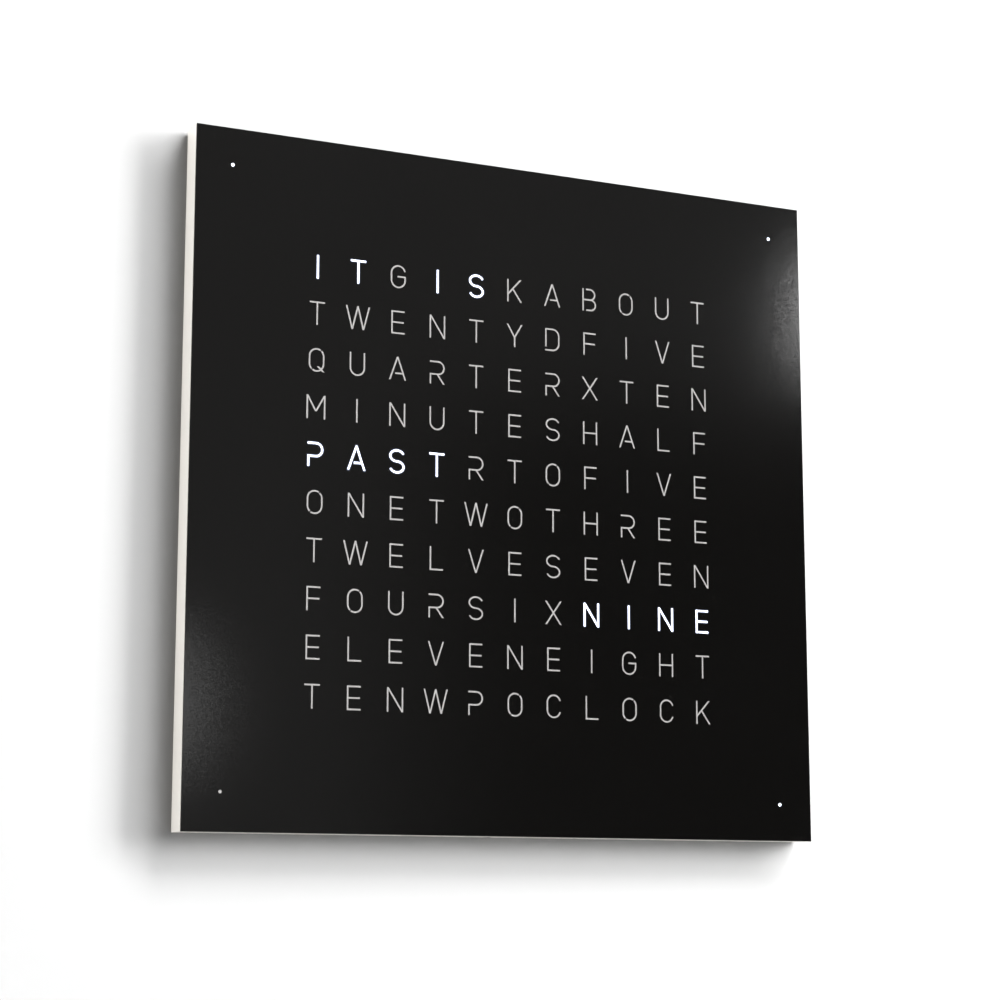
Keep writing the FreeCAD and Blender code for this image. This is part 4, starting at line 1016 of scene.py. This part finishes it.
def on_points(tree, given, shape, finish, turn=0, spin=None):
    """The shape on every point, turned about X and spun about its own axis, in the finish of an input."""
    spots = add_node(tree, "GeometryNodeInstanceOnPoints")
    spots.inputs["Rotation"].default_value = (math.radians(turn), 0, 0)
    wire(tree, (given["Geometry"], spots.inputs["Points"]), (shape, spots.inputs["Instance"]))
    placed = spots.outputs["Instances"]
    if spin is not None:
        spun = add_node(tree, "GeometryNodeRotateInstances")
        wire(tree, (placed, spun.inputs["Instances"]), (spin, spun.inputs["Rotation"]))
        placed = spun.outputs["Instances"]
    real = add_node(tree, "GeometryNodeRealizeInstances")
    painted = add_node(tree, "GeometryNodeSetMaterial")
    wire(
        tree,
        (placed, real.inputs["Geometry"]),
        (real.outputs["Geometry"], painted.inputs["Geometry"]),
        (given[finish], painted.inputs["Material"]),
    )
    return painted.outputs["Geometry"]


# %% Run a tree
def run_tree(name, tree, points, values, body):
    """The tree's result on some points, as one plain mesh that rides on a body."""
    seeds = bpy.data.meshes.new(name)
    seeds.from_pydata(points, [], [])
    piece = bpy.data.objects.new(name, seeds)
    bpy.context.scene.collection.objects.link(piece)
    modifier = piece.modifiers.new("make", "NODES")
    modifier.node_group = tree
    for item in tree.interface.items_tree:
        if item.in_out == "INPUT" and item.name in values:
            modifier[item.identifier] = values[item.name]
    ready = piece.evaluated_get(bpy.context.evaluated_depsgraph_get())
    mesh = bpy.data.meshes.new_from_object(ready)
    piece.modifiers.remove(modifier)
    piece.data = mesh
    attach(piece, body)
    low, high = (
        [round(pick(v.co[i] for v in mesh.vertices) / MM, 2) for i in range(3)] for pick in (min, max)
    )
    print(name, len(mesh.polygons), "faces, from", low, "to", high, "mm")
    return piece


# %% [markdown]
# The back sheet is held by four countersunk screws. Each is a cone for the head, cut by a cross for the
# driver, and a rod for the shank, with a fine thread wound round it. A random roll turns each cross its own
# way, as a fitter leaves them. The numbers below are shares. The radii are shares of the shank's diameter, the
# width of the cross's arms is one of their length, and their depth and the start of the thread are shares of
# the head's depth. The thread's run is a share of the rod's length.

# %% Head of a screw
NECK_RADIUS, ARM_WIDTH, ARM_DEPTH = 0.45, 0.24, 1.5


def cone_with_cross(tree, given, depth):
    """The head, its flat top at the origin, with the cross cut in it."""
    cone = add_node(tree, "GeometryNodeMeshCone", Vertices=40)
    wire(
        tree,
        (scaled(tree, given["Head"], 0.5), cone.inputs["Radius Top"]),
        (scaled(tree, given["Shank"], NECK_RADIUS), cone.inputs["Radius Bottom"]),
        (depth, cone.inputs["Depth"]),
    )
    head = shifted(tree, cone.outputs["Mesh"], scaled(tree, depth, -1.0))
    arms = add_node(tree, "GeometryNodeJoinGeometry")
    thin = scaled(tree, given["Cross"], ARM_WIDTH)
    for x, y in ((given["Cross"], thin), (thin, given["Cross"])):
        arm = add_node(tree, "GeometryNodeMeshCube")
        wire(
            tree,
            (vector_of(tree, x, y, scaled(tree, depth, ARM_DEPTH)), arm.inputs["Size"]),
            (arm.outputs["Mesh"], arms.inputs["Geometry"]),
        )
    return cut_from(tree, head, arms.outputs["Geometry"])


print("the arms of the cross are", ARM_WIDTH, "of their length wide")

# %% Shank of a screw
ROD_RADIUS, THREAD_RADIUS, RIDGE_RADIUS = 0.4, 0.41, 0.085
THREAD_START, THREAD_RUN, THREAD_TURNS = 1.1, 0.86, 6.0


def rod_and_thread(tree, given, head_depth):
    """The rod below the head, and the thread wound round it."""
    rod_length = add_math(tree, "SUBTRACT", given["Length"], head_depth)
    middle = add_math(tree, "SUBTRACT", scaled(tree, rod_length, -0.5), head_depth)
    rod = add_node(tree, "GeometryNodeMeshCylinder", Vertices=24)
    turns = add_node(tree, "GeometryNodeCurveSpiral", Resolution=18, Rotations=THREAD_TURNS)
    ridge = add_node(tree, "GeometryNodeCurvePrimitiveCircle", Resolution=3)
    thread = add_node(tree, "GeometryNodeCurveToMesh", Fill_Caps=True)
    wire(
        tree,
        (scaled(tree, given["Shank"], ROD_RADIUS), rod.inputs["Radius"]),
        (rod_length, rod.inputs["Depth"]),
        (scaled(tree, given["Shank"], THREAD_RADIUS), turns.inputs["Start Radius"]),
        (scaled(tree, given["Shank"], THREAD_RADIUS), turns.inputs["End Radius"]),
        (scaled(tree, rod_length, -THREAD_RUN), turns.inputs["Height"]),
        (scaled(tree, given["Shank"], RIDGE_RADIUS), ridge.inputs["Radius"]),
        (turns.outputs["Curve"], thread.inputs["Curve"]),
        (ridge.outputs["Curve"], thread.inputs["Profile Curve"]),
    )
    start = scaled(tree, head_depth, -THREAD_START)
    return shifted(tree, rod.outputs["Mesh"], middle), shifted(tree, thread.outputs["Mesh"], start)


print("turns of the thread", THREAD_TURNS)

# %% Tree of a countersunk screw
def make_screw_tree():
    """A screw at every point, its head level with the point and its shank towards -Y."""
    tree, given, made = new_tree(
        "countersunk_screws",
        [("Head", "NodeSocketFloat"), ("Shank", "NodeSocketFloat"), ("Length", "NodeSocketFloat"),
         ("Cross", "NodeSocketFloat"), ("Seed", "NodeSocketInt"), ("Metal", "NodeSocketMaterial")],
    )
    head_depth = scaled(tree, add_math(tree, "SUBTRACT", given["Head"], given["Shank"]), 0.5)
    head = cone_with_cross(tree, given, head_depth)
    whole = add_node(tree, "GeometryNodeJoinGeometry")
    for part in (head, *rod_and_thread(tree, given, head_depth)):
        wire(tree, (part, whole.inputs["Geometry"]))
    roll = add_node(tree, "FunctionNodeRandomValue", data_type="FLOAT")
    roll.inputs[3].default_value = math.pi
    wire(tree, (given["Seed"], roll.inputs["Seed"]))
    spin = vector_of(tree, None, None, roll.outputs[1])
    screws = on_points(tree, given, whole.outputs["Geometry"], "Metal", turn=-90, spin=spin)
    wire(tree, (screws, made["Geometry"]))
    return tree


screw_tree = make_screw_tree()
print("screw tree", len(screw_tree.nodes), "nodes")

# %% Screws of the back sheet
screw_low, screw_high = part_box("back_cover_screws")
HEAD, SHANK, CROSS = 5.0 * MM, 2.5 * MM, 2.9 * MM
ROLL_SEED = 4
screw_x, screw_z = screw_high.x - HEAD / 2, screw_high.z - HEAD / 2
screw_points = [(side * screw_x, screw_high.y, level * screw_z) for side in (-1, 1) for level in (-1, 1)]
screw_sizes = {
    "Head": HEAD,
    "Shank": SHANK,
    "Length": screw_high.y - screw_low.y,
    "Cross": CROSS,
    "Seed": ROLL_SEED,
    "Metal": zinc,
}
screws = run_tree("back_screws", screw_tree, screw_points, screw_sizes, "case")
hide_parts("back_cover_screws")

# %% [markdown]
# An LED of this kind is a white square moulding with a round well, and a yellow phosphor at the bottom of the
# well that turns its blue light white. One tree makes the moulding and its phosphor and puts them on every
# point of the grid, a hundred and ten times, so each has only some fifty faces. The phosphor is a disc a
# little narrower than the well, and its sizes are shares of the well's.

# %% Tree of an LED
DISC_RADIUS, DISC_HEIGHT, DISC_MIDDLE = 0.48, 0.8, 0.7


def make_led_tree():
    """An LED at every point, its foot on the point and its well towards -Y."""
    tree, given, made = new_tree(
        "leds",
        [("Side", "NodeSocketFloat"), ("Height", "NodeSocketFloat"), ("Well", "NodeSocketFloat"),
         ("Depth", "NodeSocketFloat"), ("Moulding", "NodeSocketMaterial"),
         ("Phosphor", "NodeSocketMaterial")],
    )
    block = add_node(tree, "GeometryNodeMeshCube")
    drill = add_node(tree, "GeometryNodeMeshCylinder", Vertices=16)
    disc = add_node(tree, "GeometryNodeMeshCylinder", Vertices=16)
    wire(
        tree,
        (vector_of(tree, given["Side"], given["Side"], given["Height"]), block.inputs["Size"]),
        (scaled(tree, given["Well"], 0.5), drill.inputs["Radius"]),
        (scaled(tree, given["Depth"], 2.0), drill.inputs["Depth"]),
        (scaled(tree, given["Well"], DISC_RADIUS), disc.inputs["Radius"]),
        (scaled(tree, given["Depth"], DISC_HEIGHT), disc.inputs["Depth"]),
    )
    raised = shifted(tree, block.outputs["Mesh"], scaled(tree, given["Height"], 0.5))
    moulding = cut_from(tree, raised, shifted(tree, drill.outputs["Mesh"], given["Height"]))
    disc_level = add_math(tree, "SUBTRACT", given["Height"], scaled(tree, given["Depth"], DISC_MIDDLE))
    phosphor = shifted(tree, disc.outputs["Mesh"], disc_level)
    whole = add_node(tree, "GeometryNodeJoinGeometry")
    for shape, finish in ((moulding, "Moulding"), (phosphor, "Phosphor")):
        wire(tree, (on_points(tree, given, shape, finish, turn=90), whole.inputs["Geometry"]))
    wire(tree, (whole.outputs["Geometry"], made["Geometry"]))
    return tree


led_tree = make_led_tree()
print("LED tree", len(led_tree.nodes), "nodes")

# %% Finishes and sizes of an LED
led_moulding = surface("led_moulding", (0.84, 0.83, 0.78), (0.80, 0.79, 0.73), roughness=0.30, spread=0.04,
                       grain=5200.0, depth=0.000003)
led_phosphor = surface("led_phosphor", (0.86, 0.66, 0.10), (0.80, 0.58, 0.07), roughness=0.22, spread=0.05,
                       grain=3800.0, depth=0.000006)
led_low, led_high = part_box("letter_leds")
LED_SIDE, LED_WELL, LED_DEPTH = 5.0 * MM, 4.0 * MM, 0.6 * MM
led_sizes = {
    "Side": LED_SIDE,
    "Height": led_high.y - led_low.y,
    "Well": LED_WELL,
    "Depth": LED_DEPTH,
    "Moulding": led_moulding,
    "Phosphor": led_phosphor,
}
print("LED height", round(led_sizes["Height"] / MM, 2), "mm")

# %% LEDs of the letters and the corner dots
led_places = [cell_middle(row, column) for row in range(ROWS) for column in range(COLUMNS)]
led_points = [(x, led_high.y, z) for x, z in led_places]
letter_lamps = run_tree("letter_led_packages", led_tree, led_points, led_sizes, "case")
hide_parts("letter_leds")
corner_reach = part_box("minute_leds")[1].x - LED_SIDE / 2
corner_points = [
    (side * corner_reach, led_high.y, level * corner_reach) for side in (-1, 1) for level in (-1, 1)
]
corner_lamps = run_tree("corner_led_packages", led_tree, corner_points, led_sizes, "case")
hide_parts("minute_leds")

# %% [markdown]
# The aerial of the time receiver is a ferrite bar with fine copper wire wound on it. The winding is one wire,
# so the tree makes one long line, bends it round the bar turn by turn from each point's number, and gives it
# the thickness of the wire. The bar is square with round corners, so each turn follows a superellipse: the
# higher its power, the squarer the turn.

# %% Tree of a winding
WINDING_TURNS, STEPS_IN_A_TURN = 40, 16
TURN_POWER = 4.0


def make_winding_tree():
    """One wire wound along X round every point."""
    tree, given, made = new_tree(
        "winding",
        [("Long", "NodeSocketFloat"), ("Radius", "NodeSocketFloat"), ("Wire", "NodeSocketFloat"),
         ("Copper", "NodeSocketMaterial")],
    )
    count = WINDING_TURNS * STEPS_IN_A_TURN
    line = add_node(tree, "GeometryNodeMeshLine", Count=count + 1)
    number = add_node(tree, "GeometryNodeInputIndex").outputs["Index"]
    share = add_math(tree, "SUBTRACT", add_math(tree, "DIVIDE", number, float(count)), 0.5)
    angle = add_math(tree, "MULTIPLY", number, 2 * math.pi / STEPS_IN_A_TURN)
    across, upward = add_math(tree, "COSINE", angle), add_math(tree, "SINE", angle)
    powers = [
        add_math(tree, "POWER", add_math(tree, "ABSOLUTE", part), TURN_POWER) for part in (across, upward)
    ]
    swell = add_math(tree, "POWER", add_math(tree, "ADD", *powers), -1 / TURN_POWER)
    reach = add_math(tree, "MULTIPLY", given["Radius"], swell)
    place = vector_of(
        tree,
        add_math(tree, "MULTIPLY", share, given["Long"]),
        add_math(tree, "MULTIPLY", across, reach),
        add_math(tree, "MULTIPLY", upward, reach),
    )
    bent = add_node(tree, "GeometryNodeSetPosition")
    path = add_node(tree, "GeometryNodeMeshToCurve")
    ring = add_node(tree, "GeometryNodeCurvePrimitiveCircle", Resolution=6)
    tube = add_node(tree, "GeometryNodeCurveToMesh", Fill_Caps=True)
    wire(
        tree,
        (line.outputs["Mesh"], bent.inputs["Geometry"]),
        (place, bent.inputs["Position"]),
        (bent.outputs["Geometry"], path.inputs["Mesh"]),
        (scaled(tree, given["Wire"], 0.5), ring.inputs["Radius"]),
        (path.outputs["Curve"], tube.inputs["Curve"]),
        (ring.outputs["Curve"], tube.inputs["Profile Curve"]),
        (on_points(tree, given, tube.outputs["Mesh"], "Copper"), made["Geometry"]),
    )
    return tree


winding_tree = make_winding_tree()
print("winding tree", len(winding_tree.nodes), "nodes")


# %% Winding of the aerial
coil_low, coil_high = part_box("aerial_coil")
WIRE = 0.5 * MM
coil_middle = (coil_low + coil_high) / 2
enamelled_copper = surface("enamelled_copper", (0.60, 0.22, 0.09), (0.50, 0.16, 0.06), roughness=0.26,
                           spread=0.06, grain=1500.0, depth=0.000004, metallic=1.0, drift=300.0)
winding_sizes = {
    "Long": coil_high.x - coil_low.x - WIRE,
    "Radius": (coil_high.z - coil_low.z - WIRE) / 2,
    "Wire": WIRE,
    "Copper": enamelled_copper,
}
winding = run_tree(
    "aerial_winding", winding_tree, [tuple(coil_middle)], winding_sizes, "case"
)
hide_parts("aerial_coil")

# %% [markdown]
# ## The wall, the floor and the light
#
# The clock hangs on a plain white wall, over a plain floor. Both are painted on the room's side only and
# clear from behind, so that the clock can also be looked at from the back and from below.

# %% Wall and floor
WALL_Y, FLOOR_Z, ROOM = 0.001, -1.3, 6.0


def plane(name, corners):
    """A flat stage piece that faces the room."""
    mesh = bpy.data.meshes.new(name)
    mesh.from_pydata(corners, [], [list(range(len(corners)))])
    piece = bpy.data.objects.new(name, mesh)
    bpy.context.scene.collection.objects.link(piece)
    return piece


wall = plane("wall", [
    (-ROOM, WALL_Y, FLOOR_Z), (ROOM, WALL_Y, FLOOR_Z), (ROOM, WALL_Y, ROOM), (-ROOM, WALL_Y, ROOM),
])
floor = plane("floor", [
    (-ROOM, -ROOM, FLOOR_Z), (ROOM, -ROOM, FLOOR_Z), (ROOM, ROOM, FLOOR_Z), (-ROOM, ROOM, FLOOR_Z),
])
print("wall at", WALL_Y, "floor at", FLOOR_Z)

# %% Paint of the wall and the floor
WALL_SHADE, FLOOR_SHADE, MATT = 0.28, 0.7, 0.9


def one_sided_paint(name, shade):
    """Paint that shows from the room's side and lets light and looks through from the other."""
    material, tree, shader = start_material(name, (shade, shade, shade), MATT)
    shader.inputs["Specular IOR Level"].default_value = 0.0
    clear = add_node(tree, "ShaderNodeBsdfTransparent")
    side = add_node(tree, "ShaderNodeNewGeometry")
    rays = add_node(tree, "ShaderNodeLightPath")
    either = add_node(tree, "ShaderNodeMath", operation="MAXIMUM")
    mix = add_node(tree, "ShaderNodeMixShader")
    wire(
        tree,
        (side.outputs["Backfacing"], either.inputs[0]),
        (rays.outputs["Is Shadow Ray"], either.inputs[1]),
        (either.outputs["Value"], mix.inputs["Fac"]),
        (shader.outputs["BSDF"], mix.inputs[1]),
        (clear.outputs["BSDF"], mix.inputs[2]),
        (mix.outputs["Shader"], tree.nodes["Material Output"].inputs["Surface"]),
    )
    return material


dress(wall, one_sided_paint("wall_paint", WALL_SHADE))
dress(floor, one_sided_paint("floor_paint", FLOOR_SHADE))
print("paints", wall.active_material.name, floor.active_material.name)

# %% [markdown]
# Light linking keeps each light to the wall, to the floor or to the clock. So the shadow on the wall, the
# white side and the sheen of the black coat can each have the light that suits it, and none spoils another.

# %% Helpers for lights
def keep_light_to(lamp, only):
    """Light linking: the wall or the floor alone is lit, or all but these two."""
    bpy.context.scene.collection.objects.link(lamp)
    lit = bpy.data.collections.new(f"{lamp.name}_lights")
    for stage_piece in {"wall": [wall], "floor": [floor], "clock": [wall, floor]}[only]:
        lit.objects.link(stage_piece)
    for member in lit.collection_objects:
        member.light_linking.link_state = "EXCLUDE" if only == "clock" else "INCLUDE"
    lamp.light_linking.receiver_collection = lit


def area_light(name, place, size, power, aim=None, only="clock", glossy=True):
    """A soft round light; without an aim it faces the wall squarely."""
    light = bpy.data.lights.new(name, "AREA")
    light.shape, light.size, light.energy = "DISK", size, power
    lamp = bpy.data.objects.new(name, light)
    lamp.location = place
    aim = Vector(aim if aim is not None else (place[0], 0, place[2]))
    lamp.rotation_euler = (aim - lamp.location).to_track_quat("-Z", "Y").to_euler()
    lamp.visible_camera = False
    lamp.visible_glossy = glossy
    keep_light_to(lamp, only)
    return light


def make_tall(light, shape, height):
    """Gives a round light another shape, with a height of its own."""
    light.shape, light.size_y = shape, height


# %% [markdown]
# Four large lights light the wall alone. Each stands in its own place: one nearly in front, one high up on
# the right, one far out on the right and one low down. Their shadows add up to one that is dark beside the
# clock and fades out softly to the left and below.

# %% Lights of the wall
WALL_LIGHTS_Y = -4.0
for name, x, z, size, power in (
    ("wall_near", 1.44, 1.35, 3.0, 181.0),
    ("wall_upper", 4.0, 6.7, 5.85, 4050.0),
    ("wall_right", 7.9, 2.4, 6.0, 6220.0),
    ("wall_low", 1.6, -5.4, 3.8, 280.0),
):
    area_light(name, (x, WALL_LIGHTS_Y, z), size, power, only="wall")

# %% [markdown]
# One light from the front shows the unlit letters, and two from the left with a tall strip show the white
# side. These leave no reflection in the coat. Two small ones do: they make the faint sheen at its edges.
# One more lights the back sheet, and the floor has a light of its own, so that it stays plain and sends
# only a little light up to the foot of the clock.

# %% Lights of the clock and the floor
CLOCK_MIDDLE = (0, 0, 0)
area_light("clock_key", (0.6, -2.4, 1.6), 1.2, 59.0, aim=CLOCK_MIDDLE, glossy=False)
area_light("clock_left", (-1.5, -2.5, 0.3), 1.0, 29.0, aim=CLOCK_MIDDLE, glossy=False)
area_light("clock_rear", (-1.5, 1.5, 0.4), 1.0, 22.0, aim=CLOCK_MIDDLE, glossy=False)
side_fill = area_light("side_fill", (-2.2, -0.06, 0.45), 0.1, 13.8, aim=(0, -0.06, 0.2), glossy=False)
make_tall(side_fill, "RECTANGLE", 1.2)
right_sheen = area_light("right_sheen", (1.32, -1.67, 0.66), 0.05, 0.41, aim=(0.2, 0, 0.1))
make_tall(right_sheen, "ELLIPSE", 0.20)
left_sheen = area_light("left_sheen", (0.339, -1.95, 0.034), 0.12, 0.148, aim=(-0.2, 0, -0.1))
make_tall(left_sheen, "ELLIPSE", 0.22)
area_light("back_fill", (0.0, 2.4, 1.0), 1.5, 38.0, aim=CLOCK_MIDDLE)
floor_light = bpy.data.lights.new("floor_light", "SUN")
floor_light.energy, floor_light.angle = 1.0, math.radians(40)
keep_light_to(bpy.data.objects.new("floor_light", floor_light), "floor")

# %% [markdown]
# What the coat mirrors is the room, so the world shows reflections a dim room: pale high up and to the left,
# dark low down on the right, with a soft change between. All else gets a weak even light from it, and where
# the camera looks past the wall it is nearly white.

# %% World
FROM_LEFT_TO_RIGHT, FROM_HIGH_TO_LOW = (0.34, 0.43), (0.250, 0.185)
DARK_ROOM, PALE_ROOM = 0.008, 0.21
EVEN_LIGHT, SEEN_LIGHT = 0.1, 0.95


def room_light(dark, pale):
    """A world that is one thing to reflections, another to the camera and another to all else."""
    world = bpy.data.worlds.new("studio")
    world.use_nodes = True
    sky = world.node_tree
    way = sky.nodes.new("ShaderNodeTexCoord")
    parts = sky.nodes.new("ShaderNodeSeparateXYZ")
    wire(sky, (way.outputs["Generated"], parts.inputs["Vector"]))
    masks = []
    for axis, (start, end) in (("X", FROM_LEFT_TO_RIGHT), ("Z", FROM_HIGH_TO_LOW)):
        mask = add_node(
            sky, "ShaderNodeMapRange", interpolation_type="SMOOTHSTEP", From_Min=start, From_Max=end
        )
        wire(sky, (parts.outputs[axis], mask.inputs["Value"]))
        masks.append(mask.outputs["Result"])
    level = add_node(sky, "ShaderNodeMapRange", To_Min=pale, To_Max=dark)
    reflected = sky.nodes["Background"]
    even = add_node(sky, "ShaderNodeBackground", Strength=EVEN_LIGHT)
    direct = add_node(sky, "ShaderNodeBackground", Strength=SEEN_LIGHT)
    for shader in (reflected, even, direct):
        shader.inputs["Color"].default_value = (1.0, 1.0, 1.0, 1.0)
    rays = sky.nodes.new("ShaderNodeLightPath")
    by_gloss = sky.nodes.new("ShaderNodeMixShader")
    by_camera = sky.nodes.new("ShaderNodeMixShader")
    wire(
        sky,
        (add_math(sky, "MULTIPLY", *masks), level.inputs["Value"]),
        (level.outputs["Result"], reflected.inputs["Strength"]),
        (rays.outputs["Is Glossy Ray"], by_gloss.inputs["Fac"]),
        (even.outputs["Background"], by_gloss.inputs[1]),
        (reflected.outputs["Background"], by_gloss.inputs[2]),
        (rays.outputs["Is Camera Ray"], by_camera.inputs["Fac"]),
        (by_gloss.outputs["Shader"], by_camera.inputs[1]),
        (direct.outputs["Background"], by_camera.inputs[2]),
        (by_camera.outputs["Shader"], sky.nodes["World Output"].inputs["Surface"]),
    )
    return world


bpy.context.scene.world = room_light(DARK_ROOM, PALE_ROOM)
bpy.context.scene.view_settings.view_transform = "Standard"
print("world", bpy.context.scene.world.name)
